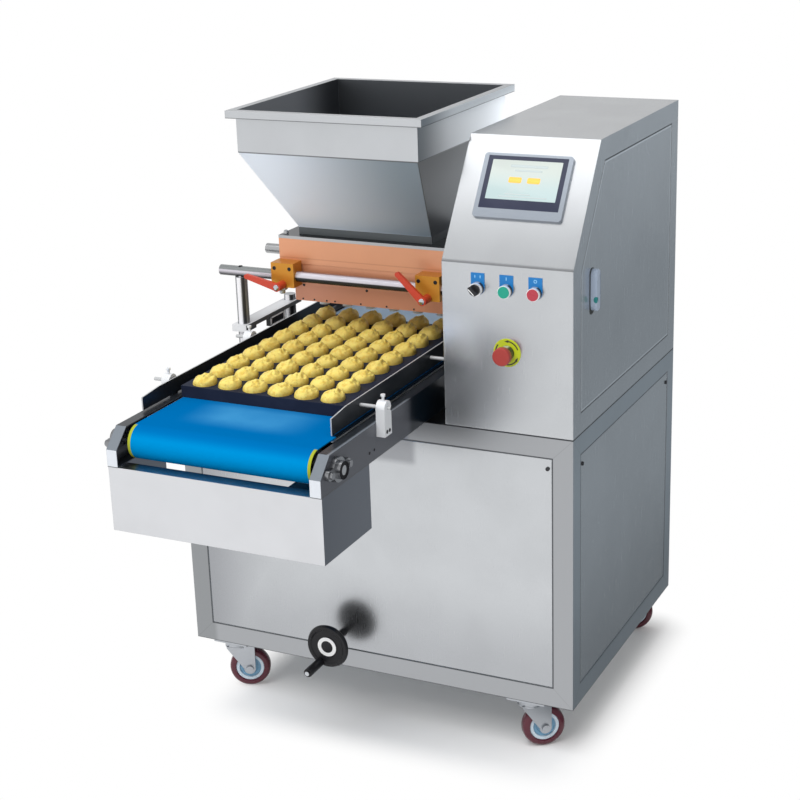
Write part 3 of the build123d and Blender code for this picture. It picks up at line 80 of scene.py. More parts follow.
funnel_shade_tint = (0.245, 0.305, 0.365)
hopper_side_light_tint = (0.93, 0.96, 0.99)
hopper_shade_tint = (0.25, 0.28, 0.31)
neck_shade_tint = (0.07, 0.08, 0.085)
frame_tint = (0.5, 0.545, 0.585)
frame_front_shade_tint = (0.4, 0.412, 0.43)
frame_left_shade_tint = (0.25, 0.262, 0.27)
frame_nose_shade_tint = (0.22, 0.24, 0.3)
panel_shade_tint = (0.3, 0.31, 0.33)
rod_tint = (0.57, 0.545, 0.6)
rod_end_reflection_tint = (0.2, 0.212, 0.215)
rod_top_reflection_tint = (0.18, 0.11, 0.1)
shade_and_dark_reflection_tint = (0.035, 0.037, 0.042)
post_tint = (0.23, 0.24, 0.255)
post_highlight_tint = (0.8, 0.8, 0.83)
bar_shade_tint = (0.15, 0.156, 0.166)
bar_lit_tint = (0.68, 0.69, 0.71)
bright_tint = (0.56, 0.58, 0.61)
collar_highlight_tint = (0.9, 0.91, 0.93)
machined_tint = (0.48, 0.49, 0.5)
dark_steel_tint = (0.06, 0.06, 0.065)
zinc_tint = (0.46, 0.48, 0.51)
copper_tint = (0.72, 0.345, 0.2)
copper_fold_shade_tint = (0.42, 0.18, 0.095)
copper_low_tint = (0.64, 0.3, 0.205)
amber_tint = (0.52, 0.215, 0.022)
amber_front_light_tint = (0.56, 0.25, 0.028)
lever_tint = (0.47, 0.042, 0.018)
black_tint = (0.012, 0.012, 0.014)
charcoal_tint = (0.014, 0.018, 0.024)
belt_tint = (0.0, 0.2, 0.48)
belt_top_shade_tint = (0.0, 0.12, 0.35)
belt_sheen_tint = (0.04, 0.235, 0.48)
belt_edge_tint = (0.33, 0.36, 0.035)
deep_shadow_tint = (0.004, 0.009, 0.016)
belt_far_light_tint = (0.3, 0.4, 0.52)
belt_black_tint = (0.01, 0.01, 0.011)
belt_strip_shade_tint = (0.03, 0.15, 0.36)
tray_tint = (0.014, 0.018, 0.034)
dough_tint = (0.72, 0.59, 0.15)
dough_back_light_tint = (0.98, 0.72, 0.19)
dough_deep_and_shade_tint = (0.62, 0.44, 0.08)
dough_speck_and_shade_tint = (0.36, 0.23, 0.04)
tread_tint = (0.085, 0.01, 0.022)
hub_tint = (0.16, 0.33, 0.48)
hub_ring_tint = (0.56, 0.66, 0.74)
green_tint = (0.002, 0.27, 0.185)
red_tint = (0.37, 0.03, 0.05)
stop_tint = (0.3, 0.03, 0.024)
lime_tint = (0.42, 0.47, 0.012)
legend_tint = (0.004, 0.15, 0.42)
legend_mark_tint = (0.28, 0.56, 0.8)
mark_dark_tint = (0.02, 0.022, 0.02)
glass_tint = (0.03, 0.034, 0.06)
screen_tint = (0.86, 0.93, 0.86)
screen_low_tint = (0.64, 0.86, 0.88)
screen_button_tint = (0.9, 0.48, 0.08)
screen_bar_tint = (0.42, 0.48, 0.48)
screen_base_tint = (0.16, 0.18, 0.175)
bezel_tint = (0.29, 0.322, 0.368)
motor_tint = (0.1, 0.11, 0.12)
device_tint = (0.55, 0.56, 0.56)
white_tint = (0.88, 0.88, 0.88)
teal_tint = (0.01, 0.2, 0.2)
joint_and_shade_line_tint = (0.06, 0.064, 0.07)
door_edge_highlight_tint = (0.9, 0.92, 0.95)
floor_tint = (0.93, 0.93, 0.93)
side_card_tint = (0.84, 0.93, 1.0)
dark_strip_tint = (0.9, 0.95, 1.0)
wall_card_tint = (0.94, 0.97, 1.0)

# Sizes shared by the surfaces and the added pieces
frame_face = 48 * mm
sheet_edge = 1.5 * mm
line_end = 1 * mm
door_border = 48 * mm
door_back_room = 3 * mm
door_highlight_inset = 4 * mm
crease_height = 1137 * mm
slant_rise = 243 * mm
slant_run = 168 * mm
slant_turn = atan2(slant_rise, slant_run)
copper_fold = 1058 * mm
neck_top = 1128 * mm
funnel_top = 1331 * mm
collar_top = 1409 * mm
neck_right = 62 * mm
collar_right = 113 * mm
head_front = -245 * mm
nose_right = 85 * mm
belt_shade_start = 100 * mm
belt_far_start = 235 * mm
sheen_front = (-545 * mm, -480 * mm)
sheen_back = (-425 * mm, -395 * mm)
gleam_foot = (900 * mm, 940 * mm)
gleam_top = (970 * mm, 1040 * mm)
post_band_x = 0.9
post_band_y = 0.44

# Ranges of a normal's part along an axis in which a face counts as turned that way
flat_face = (0.9, 0.95)
broad_face = (0.8, 0.95)
front_face = (-0.95, -0.9)

# Grain shared by all metals and all plastics
streak_spread = 0.004
streak_relief = 0.00025
streak_depth = 0.1 * mm
cloud_darkening = 0.9
gloss_spread = 0.06
gloss_range = (0.25, 0.75)
grain_relief = 0.12

# Sockets of the colour mixing node
mix_under = 6
mix_over = 7
mix_result = 2


def arithmetic(kind):
    """A method that makes an arithmetic node from a value and another value or number."""
    def method(self, other=0.0):
        return self.math(kind, self, other)
    return method


class Value:
    """A number that varies over a surface; arithmetic with it adds nodes to its tree."""

    __add__ = arithmetic("ADD")
    __sub__ = arithmetic("SUBTRACT")
    __mul__ = arithmetic("MULTIPLY")
    __abs__ = arithmetic("ABSOLUTE")
    most = arithmetic("MAXIMUM")
    least = arithmetic("MINIMUM")

    def __init__(self, tree, socket):
        self.tree = tree
        self.socket = socket

    def math(self, operation, first, second=0.0):
        made = self.tree.nodes.new("ShaderNodeMath")
        made.operation = operation
        for socket, value in zip(made.inputs, (first, second)):
            if isinstance(value, Value):
                self.tree.links.new(value.socket, socket)
            else:
                socket.default_value = value
        return Value(self.tree, made.outputs[0])

    def __rsub__(self, other):
        return self.math("SUBTRACT", other, self)

    def ramp(self, low, high, start=0.0, end=1.0, shape="SMOOTHSTEP"):
        """The start up to low, the end from high on, and a change between them."""
        made = self.tree.nodes.new("ShaderNodeMapRange")
        made.interpolation_type = shape
        self.tree.links.new(self.socket, made.inputs["Value"])
        for key, value in (("From Min", low), ("From Max", high), ("To Min", start), ("To Max", end)):
            made.inputs[key].default_value = value
        return Value(self.tree, made.outputs["Result"])

    def fade(self, low, high, start=1.0):
        """The start up to low, falling to nothing at high."""
        return self.ramp(low, high, start, 0.0)

    def line(self, half, end, start=1.0):
        """A line where the value is 0, with its half width and its outer end in millimetres."""
        return abs(self).fade(half * mm, end * mm, start)


class Shader:
    """A node material with a principled surface, and the place and normal of each of its points as values."""

    def __init__(self, name, tint, metallic, roughness):
        self.material = bpy.data.materials.new(name)
        self.material.use_nodes = True
        self.tree = self.material.node_tree
        self.surface = self.tree.nodes["Principled BSDF"]
        self.tint = tint
        self.colour = None
        self.painted = "Base Color"
        self.places = self.node("ShaderNodeTexCoord").outputs["Object"]
        self.x, self.y, self.z = self.split(self.places)
        normals = self.node("ShaderNodeNewGeometry").outputs["Normal"]
        self.normal_x, self.normal_y, self.normal_z = self.split(normals)
        self.give("Base Color", (*tint, 1.0))
        self.give("Metallic", metallic)
        self.give("Roughness", roughness)

    def node(self, kind, **settings):
        made = self.tree.nodes.new(kind)
        for key, value in settings.items():
            setattr(made, key, value)
        return made

    def link(self, source, target):
        self.tree.links.new(source, target)

    def split(self, vector):
        made = self.node("ShaderNodeSeparateXYZ")
        self.link(vector, made.inputs[0])
        return [Value(self.tree, made.outputs[axis]) for axis in "XYZ"]

    def give(self, key, value):
        """Set an input of the surface to a constant, or tie it to a value."""
        if isinstance(value, Value):
            self.link(value.socket, self.surface.inputs[key])
        else:
            self.surface.inputs[key].default_value = value

    def noise(self, scale, detail=2.0, stretch=(1.0, 1.0, 1.0)):
        mapping = self.node("ShaderNodeMapping")
        self.link(self.places, mapping.inputs["Vector"])
        mapping.inputs["Scale"].default_value = stretch
        made = self.node("ShaderNodeTexNoise")
        self.link(mapping.outputs[0], made.inputs["Vector"])
        made.inputs["Scale"].default_value = scale
        made.inputs["Detail"].default_value = detail
        return Value(self.tree, made.outputs["Fac"])

    def paint(self, mask, tint):
        """Lay a tint over the colour where the mask is 1."""
        made = self.node("ShaderNodeMix", data_type="RGBA")
        self.link(mask.socket, made.inputs["Factor"])
        if self.colour is None:
            made.inputs[mix_under].default_value = (*self.tint, 1.0)
        else:
            self.link(self.colour.socket, made.inputs[mix_under])
        made.inputs[mix_over].default_value = (*tint, 1.0)
        self.colour = Value(self.tree, made.outputs[mix_result])
        self.give(self.painted, self.colour)

    def vary_roughness(self, value, low, high):
        self.give("Roughness", value.ramp(*gloss_range, low, high))

    def bump(self, value, strength, distance, edge=0.0):
        """Surface relief from a value; edge is the radius that corners look broken to."""
        made = self.node("ShaderNodeBump")
        made.inputs["Strength"].default_value = strength
        made.inputs["Distance"].default_value = distance
        self.link(value.socket, made.inputs["Height"])
        if edge:
            rounded = self.node("ShaderNodeBevel", samples=6)
            rounded.inputs["Radius"].default_value = edge
            self.link(rounded.outputs[0], made.inputs["Normal"])
        self.link(made.outputs[0], self.surface.inputs["Normal"])


def metal(name, tint, roughness, stretch=(1.0, 1.0, 0.03), grain=900.0, metallic=1.0, edge=0.0):
    """Brushed metal: long fine streaks in the roughness and surface, and faint cloudy tone."""
    made = Shader(name, tint, metallic, roughness)
    streaks = made.noise(grain, 3.0, stretch)
    clouds = made.noise(7.0, 3.0)
    made.paint(clouds.ramp(0.35, 0.7, 0.0, 0.5), tuple(channel * cloud_darkening for channel in tint))
    made.vary_roughness(streaks, roughness - streak_spread, roughness + streak_spread)
    made.bump(streaks, streak_relief, streak_depth, edge)
    return made


def plastic(name, tint, roughness, grain=1400.0, depth=0.15 * mm, wear=1.5, gloss=0.5):
    """Moulded or painted surface: fine grain, uneven gloss and a slightly rubbed tone."""
    made = Shader(name, tint, 0.0, roughness)
    fine = made.noise(grain)
    clouds = made.noise(16.0, 3.0)
    wear_and_gleam = tuple(min(channel * wear + 0.004, 1.0) for channel in tint)
    made.paint(clouds.ramp(0.45, 0.75, 0.0, 0.35), wear_and_gleam)
    made.vary_roughness(clouds, roughness - gloss_spread, roughness + gloss_spread)
    made.bump(fine, grain_relief, depth)
    made.give("Specular IOR Level", gloss)
    return made


def hopper_material():
    """Painted light and shade: a matt funnel painted pale and shaded toward the tower, a light right side
    shaded near its front and foot, a shaded neck and fold lines, and a shaded inside.
    """
    made = metal("hopper_steel", steel_tint, 0.4, edge=sheet_edge)
    low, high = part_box("hopper")
    middle_x = (low[0] + high[0]) / 2
    middle_y = (low[1] + high[1]) / 2
    inward = (middle_x - made.x) * made.normal_x + (middle_y - made.y) * made.normal_y
    inside = inward.ramp(4 * mm, 10 * mm)
    below_collar = made.z.fade(funnel_top - line_end, funnel_top)
    right_side = made.normal_x.ramp(0.4, 0.6)
    # Painted light on the funnel, and painted shade on it toward the tower
    made.paint(below_collar, funnel_light_tint)
    made.paint(below_collar * made.x.ramp(low[0] + 0.05, high[0] - 0.03), funnel_shade_tint)
    # Painted light on the right side, with painted shade near its front and its foot
    made.paint(right_side, hopper_side_light_tint)
    near_front = made.z.ramp(funnel_top - line_end, funnel_top) * made.y.fade(low[1], low[1] + 0.2)
    near_foot = below_collar * made.z.fade(neck_top, funnel_top - 0.05)
    made.paint(right_side * near_front.most(near_foot), hopper_shade_tint)
    # Painted shade on the neck
    made.paint(made.z.fade(neck_top - line_end, neck_top), neck_shade_tint)
    # Painted shade as dark lines along the funnel's corners, at the collar's foot and at its top
    edge_slope = (collar_right - neck_right) / (funnel_top - neck_top)
    edge_x = (made.z - neck_top) * edge_slope + neck_right
    dark_lines = (made.x - edge_x).line(1.2, 3.0, 0.85) * below_collar
    for height in (funnel_top, collar_top):
        dark_lines = dark_lines.most((made.z - height).line(0.8, 2.2, 0.7))
    made.paint(dark_lines, joint_and_shade_line_tint)
    # Painted shade inside, painted lighter high on the left wall and darkest in the back corner
    made.paint(inside, inside_shade_tint)
    left_wall = inside * right_side
    made.paint(left_wall * made.z.ramp(high[2] - 0.12, high[2] - 0.02), inside_wall_light_tint)
    made.paint(left_wall * made.y.ramp(middle_y, high[1] - 0.05), inside_corner_shade_tint)
    least_shine = 0.08
    side_dulling = 0.25
    matt = (below_collar - right_side).most(left_wall)
    shine = matt.ramp(0.0, 1.0, 1.0, least_shine) - (right_side - left_wall) * side_dulling
    made.give("Metallic", shine.most(least_shine))
    return made


def cover_material():
    """The open cover's ends are painted darker than its front, as painted shade."""
    made = metal("cover_steel", cover_tint, 0.3, edge=sheet_edge)
    # Painted shade on the cover's ends
    made.paint(abs(made.normal_x).ramp(*broad_face), cover_side_shade_tint)
    return made


def rail_material():
    """Rails: sides painted dark as shade and black as painted shadow under the head, end faces painted light,
    duller slopes above them, tops painted dark as the guide's reflection but for a bare outer edge, a dark
    joint at the foot."""
    made = metal("rail_steel", rail_tint, 0.3, stretch=(1.0, 0.02, 1.0), metallic=0.3, edge=sheet_edge)
    low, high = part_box("side_rails")
    # Painted light on the end faces and painted shade on the long sides
    made.paint(made.normal_y.fade(-0.97, -0.92), rail_end_light_tint)
    made.paint(abs(made.normal_x).ramp(*broad_face), rail_side_shade_tint)
    # Painted shadow under the head
    made.paint(made.y.ramp(head_front, head_front + 30 * mm), deep_shadow_tint)
    # Painted reflection of the dark guide on the tops, leaving the outer edge bare
    inner = made.x.fade(high[0] - 8 * mm, high[0] - 4 * mm)
    made.paint(made.normal_z.ramp(0.9, 0.96) * inner, rail_top_reflection_tint)
    made.paint((made.z - low[2]).fade(1.2 * mm, 2.2 * mm, 0.9), joint_and_shade_line_tint)
    return made


def panel_material():
    """The front panel gets painted shade toward its left end, its foot and the place behind the belt nose."""
    made = metal("panel_steel", steel_tint, 0.27, stretch=(1.0, 1.0, 0.02), edge=sheet_edge)
    panel_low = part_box("cabinet_panels")[0]
    nose_low, nose_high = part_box("front_cover")
    # Painted shade toward the left end, the foot and behind the belt nose
    near_left = made.x.fade(panel_low[0], panel_low[0] + 0.28, 0.85)
    near_foot = made.z.fade(panel_low[2], panel_low[2] + 0.25, 0.45)
    above_nose_foot = made.z.ramp(nose_low[2] + 0.03, nose_low[2] + 0.05, 0.0, 0.75)
    behind_nose = above_nose_foot * made.x.fade(nose_high[0] - 0.04, nose_high[0] - 0.02)
    panel_shading = near_left.most(near_foot).most(behind_nose)
    made.paint(made.normal_y.fade(*front_face) * panel_shading, panel_shade_tint)
    return made


def head_material():
    """The head's top is painted dark as shade between its bright edges."""
    made = metal("head_steel", machined_tint, 0.3, stretch=(0.05, 1.0, 1.0))
    # Painted shade on the top faces
    made.paint(made.normal_z.ramp(*broad_face), head_top_shade_tint)
    return made


def belt_material():
    """Blue weave with lime edges at its nose; painted shade on its top, a painted sheen, painted shadow under
    the head and beside the guide, and a painted pale reflection at its far end.
    """
    made = Shader("belt_blue", belt_tint, 0.0, 0.34)
    low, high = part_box("conveyor_belt")
    guide_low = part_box("right_guide")[0]
    half = (high[0] - low[0]) / 2
    lime_start = half - 7 * mm
    nose_y = low[1] + 30 * mm
    off_middle = abs(made.x - (low[0] + high[0]) / 2)
    clouds = made.noise(9.0, 3.0)
    # Painted shade on the top faces
    made.paint(made.normal_z.ramp(0.4, 0.95), belt_top_shade_tint)
    # Painted sheen: a soft highlight patch on the top
    sheen_patch = made.y.ramp(*sheen_front) * made.y.ramp(*sheen_back, 1.0, 0.35)
    sheen_patch = sheen_patch * off_middle.fade(0.045, 0.165) * clouds.ramp(0.2, 0.7, 0.6, 1.0)
    made.paint(sheen_patch, belt_sheen_tint)
    beyond_guide = made.x.ramp(guide_low[0] + 2 * mm, guide_low[0] + 3 * mm)
    behind_nose = made.y.ramp(guide_low[1], guide_low[1] + 5 * mm)
    # Painted shadow under the head and beside the guide
    under_head = made.y.ramp(belt_shade_start, belt_shade_start + 0.14)
    made.paint(under_head.most(beyond_guide * behind_nose), deep_shadow_tint)
    # A dimmer blue strip of painted shade beside the guide, toward the front
    strip = beyond_guide * made.x.fade(high[0] - 16 * mm, high[0] - 8 * mm)
    made.paint(strip * made.y.fade(belt_shade_start, belt_shade_start + 0.04), belt_strip_shade_tint)
    # Painted pale reflection on the far end, with metal shine
    far = made.y.ramp(belt_far_start, belt_far_start + 0.02)
    made.paint(far, belt_far_light_tint)
    made.give("Metallic", far.ramp(0.0, 1.0, 0.0, 0.75))
    rim = off_middle.ramp(lime_start, lime_start + 0.6 * mm)
    made.paint(made.y.fade(nose_y, nose_y + 6 * mm) * rim, belt_edge_tint)
    made.give("Specular IOR Level", 0.0)
    made.vary_roughness(clouds, 0.4, 0.55)
    made.bump(made.noise(1800.0, 1.0), 0.15, 0.2 * mm)
    return made


def rod_material():
    """Bright turned rod: a painted copper reflection on top, light along its middle, painted shade
    underneath; its free end is painted grey on top with softer shade below.
    """
    made = metal("rod_steel", rod_tint, 0.26, stretch=(0.03, 1.0, 1.0), metallic=0.3)
    block_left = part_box("clamp_blocks")[0][0]
    between = made.x.ramp(block_left - line_end, block_left)
    free_end = made.x.fade(block_left - line_end, block_left)
    # Painted reflection of the copper plate on top, and a grey painted reflection on the free end's top
    made.paint(between * made.normal_z.ramp(0.88, 0.97, 0.0, 0.8), rod_top_reflection_tint)
    made.paint(free_end * made.normal_z.ramp(0.25, 0.45), rod_end_reflection_tint)
    # Painted shade underneath
    under = (between * made.normal_z.fade(-0.05, 0.15)).most(free_end * made.normal_z.fade(-0.7, 0.22))
    made.paint(under, shade_and_dark_reflection_tint)
    return made


def post_material():
    """Polished posts with long painted dark and light reflection bands."""
    made = metal("post_steel", post_tint, 0.26, metallic=0.3)
    # Painted reflection bands: a highlight band, a dark band and a dark edge, set by which way the surface
    # faces
    turn = made.normal_x * post_band_x + made.normal_y * post_band_y
    made.paint(turn.ramp(-0.85, -0.65) * turn.fade(-0.15, 0.05), post_highlight_tint)
    made.paint(turn.ramp(-0.02, 0.15) * turn.fade(0.5, 0.66), shade_and_dark_reflection_tint)
    made.paint(turn.fade(-0.98, -0.88, 0.8), shade_and_dark_reflection_tint)
    return made


def bar_material():
    """Side bars: tops and fronts painted light as lit faces, the other faces painted dark as shade."""
    made = metal("bar_steel", bar_shade_tint, 0.36, stretch=(1.0, 0.03, 1.0), metallic=0.2)
    # Painted light on the tops and fronts; the rest keeps the dark painted shade
    made.paint(made.normal_z.ramp(0.6, 0.9), bar_lit_tint)
    made.paint(made.normal_y.fade(-0.9, -0.6), bar_lit_tint)
    return made


def collar_material():
    """Button collars: a painted highlight on the push buttons' front rim, and painted shade down one side
    behind it.
    """
    made = metal("collar_steel", bright_tint, 0.2, stretch=(1.0, 0.03, 1.0), metallic=0.5)
    low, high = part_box("button_collars")
    # Painted shade down one side
    made.paint(made.normal_x.ramp(0.25, 0.5, 0.0, 0.95), shade_and_dark_reflection_tint)
    # Painted highlight on the front rim of the upper row
    rim = made.y.fade(low[1] + 8 * mm, low[1] + 9 * mm)
    upper_row = made.z.ramp(high[2] - 50 * mm, high[2] - 40 * mm)
    made.paint(rim * upper_row, collar_highlight_tint)
    return made


def copper_material():
    """The upper copper plate has a faint line of painted shade along its fold; the lower plate is redder."""
    made = metal("copper", copper_tint, 0.36, stretch=(0.04, 1.0, 1.0), metallic=0.6)
    lower_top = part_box("nozzle_manifold")[1][2]
    made.paint(made.z.fade(lower_top - 0.5 * mm, lower_top), copper_low_tint)
    # Painted shade along the fold line
    made.paint((made.z - copper_fold).line(0.6, 2.2, 0.35), copper_fold_shade_tint)
    return made


def amber_material():
    """The clamp blocks' fronts are painted lighter than their sides, as lit faces."""
    made = metal("amber", amber_tint, 0.34, stretch=(0.08, 1.0, 1.0), metallic=0.5)
    # Painted light on the front faces
    made.paint(made.normal_y.fade(-0.95, -0.8), amber_front_light_tint)
    return made


def guide_material():
    """Charcoal plate faces with bare light edges; the rods are bare steel too."""
    made = metal("charcoal_plate", charcoal_tint, 0.38, stretch=(1.0, 0.03, 1.0), metallic=0.3)
    made.paint(abs(made.normal_x).fade(0.5, 0.8), machined_tint)
    return made


def frame_material():
    """Weld lines across the corners, dark joints round the panels, and painted shade on the front, deeper at
    the left and the nose.
    """
    made = metal("frame_steel", frame_tint, 0.29, edge=sheet_edge)
    low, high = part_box("base_frame")

    def inset(value, axis):
        return (value - low[axis]).least(high[axis] - value)

    up_inset = inset(made.z, 2)

    def lines(across, normal):
        weld = (across - up_inset).line(0.4, 1.2, 0.2)
        outer = across.least(up_inset) - (frame_face - 1.2 * mm)
        joint = outer.line(0.8, 1.6, 0.85)
        return weld.most(joint) * abs(normal).ramp(*flat_face)

    # Painted shade on the front faces, deeper beside the left post and behind the belt nose
    front = made.normal_y.fade(*front_face)
    made.paint(front, frame_front_shade_tint)
    post_edge = low[0] + frame_face
    made.paint(front * made.x.fade(post_edge, post_edge + 15 * mm, 0.6), frame_left_shade_tint)
    rail_foot = high[2] - frame_face
    behind_nose = made.z.ramp(rail_foot, rail_foot + 2 * mm) * made.x.fade(nose_right, nose_right + 20 * mm)
    made.paint(front * behind_nose, frame_nose_shade_tint)
    dark_lines = lines(inset(made.x, 0), made.normal_y).most(lines(inset(made.y, 1), made.normal_x))
    dark_lines = dark_lines.most((high[2] - made.z).fade(1.0 * mm, 2.0 * mm))
    dark_lines = dark_lines.most((made.z - low[2]).fade(0.8 * mm, 1.8 * mm, 0.85))
    made.paint(dark_lines, joint_and_shade_line_tint)
    return made


def tower_material():
    """Brushed tower sheet with a painted highlight beside the conveyor, dark joints round its door and at its
    foot, a painted highlight line inside the door joint and painted shade above the crease.
    """
    made = metal("tower_steel", steel_tint, 0.27, stretch=(1.0, 1.0, 0.02), edge=sheet_edge)
    low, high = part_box("tower_shell")
    front = made.y - low[1]
    foot = made.z - low[2]
    slant_height = front * (slant_rise / slant_run) + crease_height
    slant = (slant_height - made.z) * cos(slant_turn)
    level_inset = front.least(high[1] - door_back_room - made.y)
    inset = level_inset.least(high[2] - made.z).least(foot).least(slant) - door_border
    # Painted highlight near the left edge, beside the conveyor
    wear_and_gleam = made.z.ramp(*gleam_foot) * made.z.fade(*gleam_top)
    made.paint(wear_and_gleam * made.x.fade(low[0] + 0.03, low[0] + 0.11), steel_highlight_tint)
    side = made.normal_x.ramp(*flat_face)
    # Painted highlight line just inside the door's dark joint
    made.paint((inset - door_highlight_inset).line(1.0, 2.2, 0.8) * side, door_edge_highlight_tint)
    made.paint(inset.line(1.0, 1.8, 0.9) * side, joint_and_shade_line_tint)
    made.paint(foot.fade(1.4 * mm, 2.2 * mm), joint_and_shade_line_tint)
    # Painted shade just above the crease
    above_crease = made.z - crease_height
    crease = above_crease.ramp(-1.0 * mm, 0.0) * above_crease.fade(1.0 * mm, 7.0 * mm, 0.55)
    made.paint(crease * made.normal_y.fade(-0.7, -0.5), joint_and_shade_line_tint)
    return made


def latch_material():
    """Pale handle painted darker along its back edge as shade, with a small teal lock cover near its lower
    end.
    """
    made = plastic("latch_silver", latch_tint, 0.28, wear=1.05)
    low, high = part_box("latch_handle")
    back_edge = (low[1] + high[1]) / 2 + 6 * mm
    # Painted shade along the back edge
    made.paint(made.y.ramp(back_edge, back_edge + line_end), latch_back_shade_tint)
    reach = 0.0
    for place, middle, radius in ((made.x, high[0] - 2 * mm, 5 * mm), (made.y, low[1] + 1 * mm, 10 * mm),
                                  (made.z, low[2] + 31 * mm, 7 * mm)):
        apart = (place - middle) * (1 / radius)
        reach = apart * apart + reach
    made.paint(reach.fade(0.85, 1.1), teal_tint)
    return made


def dough_material():
    """Butter dough: yellow with random deeper patches, small browned specks and a soft grain; painted shade
    at its foot, on the middle rows and right sides, and painted light on the back rows.
    """
    made = Shader("dough", dough_tint, 0.0, 0.48)
    low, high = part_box("dough_portions")
    made.paint(made.noise(75.0, 4.0).ramp(0.46, 0.66), dough_deep_and_shade_tint)
    # Painted shade at the foot of each mound
    made.paint((made.z - low[2]).fade(1 * mm, 8 * mm, 0.6), dough_deep_and_shade_tint)
    made.paint(made.noise(170.0, 3.0).ramp(0.56, 0.68, 0.0, 0.45), dough_speck_and_shade_tint)
    # Painted shade across the middle rows
    behind_front = made.y.ramp(low[1] + 0.08, low[1] + 0.35, 0.0, 0.34)
    made.paint(behind_front * made.y.fade(high[1] - 0.22, high[1] - 0.02), dough_speck_and_shade_tint)
    # Painted light on the back rows
    made.paint(made.y.ramp(high[1] - 0.17, high[1] - 0.03, 0.0, 0.7), dough_back_light_tint)
    # Painted shade on the right sides
    made.paint(made.normal_x.ramp(0.15, 0.75, 0.0, 0.4), dough_speck_and_shade_tint)
    made.vary_roughness(made.noise(90.0), 0.4, 0.58)
    made.bump(made.noise(330.0, 4.0), 0.45, 1.2 * mm)
    made.give("Subsurface Weight", 0.12)
    made.give("Subsurface Radius", (6 * mm, 3 * mm, 1 * mm))
    made.give("Subsurface Scale", 1.0)
    return made


def screen_material():
    """Lit screen: pale green-white fading to cyan toward the bottom, with faint clouds."""
    made = Shader("screen_lit", screen_base_tint, 0.0, 0.2)
    made.tint = screen_tint
    made.painted = "Emission Color"
    low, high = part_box("hmi_screen")
    made.paint(made.z.ramp(high[2] - 0.02, low[2] + 0.03), screen_low_tint)
    made.paint(made.noise(30.0).ramp(0.5, 0.8, 0.0, 0.3), white_tint)
    made.give("Emission Strength", 0.55)
    made.material.cycles.emission_sampling = "NONE"
    made.vary_roughness(made.noise(400.0, 1.0), 0.14, 0.26)
    return made


def dress(made, *names, edge=0.0):
    """Give CAD nodes a material and, where asked, softly broken edges."""
    for name in names:
        obj = nodes[name]
        obj.data.materials.clear()
        obj.data.materials.append(made.material)
        if edge:
            weld = obj.modifiers.new("joined", "WELD")
            weld.merge_threshold = 0.01 * mm
            bevel = obj.modifiers.new("broken_edges", "BEVEL")
            bevel.width = edge * mm
            bevel.segments = 2
            bevel.limit_method = "ANGLE"
            bevel.angle_limit = radians(40)
            bevel.use_clamp_overlap = True


# Materials used by more than one piece
even_grain = (1.0, 1.0, 1.0)
bright_steel = metal("bright_steel", bright_tint, 0.14, grain=1500.0)
machined_steel = metal("machined_steel", machined_tint, 0.3, stretch=(0.05, 1.0, 1.0))
dark_steel = metal("dark_steel", dark_steel_tint, 0.38)
zinc = metal("zinc", zinc_tint, 0.34, stretch=even_grain, grain=260.0)
wheel_tread = plastic("wheel_tread", tread_tint, 0.26)
black_gloss = plastic("black_gloss", black_tint, 0.3, gloss=0.25)
seal_black = plastic("seal_black", black_tint, 0.5, gloss=0.05)
mark_white = plastic("mark_white", white_tint, 0.4, wear=1.0)
mark_dark = plastic("mark_dark", mark_dark_tint, 0.45)

# Materials of the CAD nodes; edges in millimetres
corners = ("front_left", "front_right", "rear_left", "rear_right")
dress(frame_material(), "base_frame")
dress(panel_material(), "cabinet_panels")
dress(tower_material(), "tower_shell", "tower_door")
dress(rail_material(), "side_rails")
dress(metal("stainless", steel_tint, 0.3, edge=sheet_edge), "slider_bed")
dress(cover_material(), "front_cover")
dress(hopper_material(), "hopper")
dress(collar_material(), "button_collars")
dress(rod_material(), "clamp_rod")
dress(post_material(), "lift_posts")
dress(dark_steel, "panel_screws")
# Nozzles painted pale blue-white with little metal, as painted light in the head's shade
dress(metal("nozzle_steel", nozzle_light_tint, 0.36, metallic=0.1), "nozzles")
dress(machined_steel, "door_pivots", "front_roller", "rear_roller", "motor_pulley", "feed_roller_front",
      "feed_roller_rear", "lift_platform", "lift_screw")
dress(head_material(), "head_body")
dress(bar_material(), "side_bars", edge=1.0)
dress(zinc, "caster_plates", edge=0.4)
dress(metal("bracket_steel", bracket_tint, 0.34, stretch=even_grain, grain=260.0, metallic=0.3),
      "guide_blocks", edge=0.4)
dress(metal("bearing_steel", bearing_tint, 0.28, stretch=even_grain, grain=260.0), "flange_bearings")
dress(zinc, *[f"caster_fork_{corner}" for corner in corners], edge=0.6)
dress(wheel_tread, *[f"caster_wheel_{corner}" for corner in corners])
dress(copper_material(), "upper_front_plate", "nozzle_manifold", edge=0.8)
dress(amber_material(), "clamp_blocks", edge=1.2)
dress(plastic("lever_orange", lever_tint, 0.34, wear=1.1), "left_clamp_lever", "right_clamp_lever", edge=1.5)
dress(plastic("black_plastic", black_tint, 0.42), "cable_gland", "selector_knob", "tray_sensor", edge=0.4)
dress(black_gloss, "handwheel", "crank_grip", edge=0.8)
dress(latch_material(), "latch_handle", edge=0.8)
dress(guide_material(), "left_guide", "right_guide", edge=0.4)
dress(plastic("motor_grey", motor_tint, 0.45, grain=500.0), "jack_housing", "conveyor_motor", "feed_motor",
      edge=1.0)
dress(plastic("device_grey", device_tint, 0.45, wear=1.05), "control_plate", edge=0.4)
dress(metal("bezel_silver", bezel_tint, 0.3, stretch=even_grain, grain=2500.0, metallic=0.7), "hmi_bezel",
      edge=2.0)
dress(plastic("panel_glass", glass_tint, 0.1, wear=1.2, gloss=0.25), "hmi_screen")
dress(belt_material(), "conveyor_belt")
dress(plastic("belt_black", belt_black_tint, 0.55), "drive_belt")
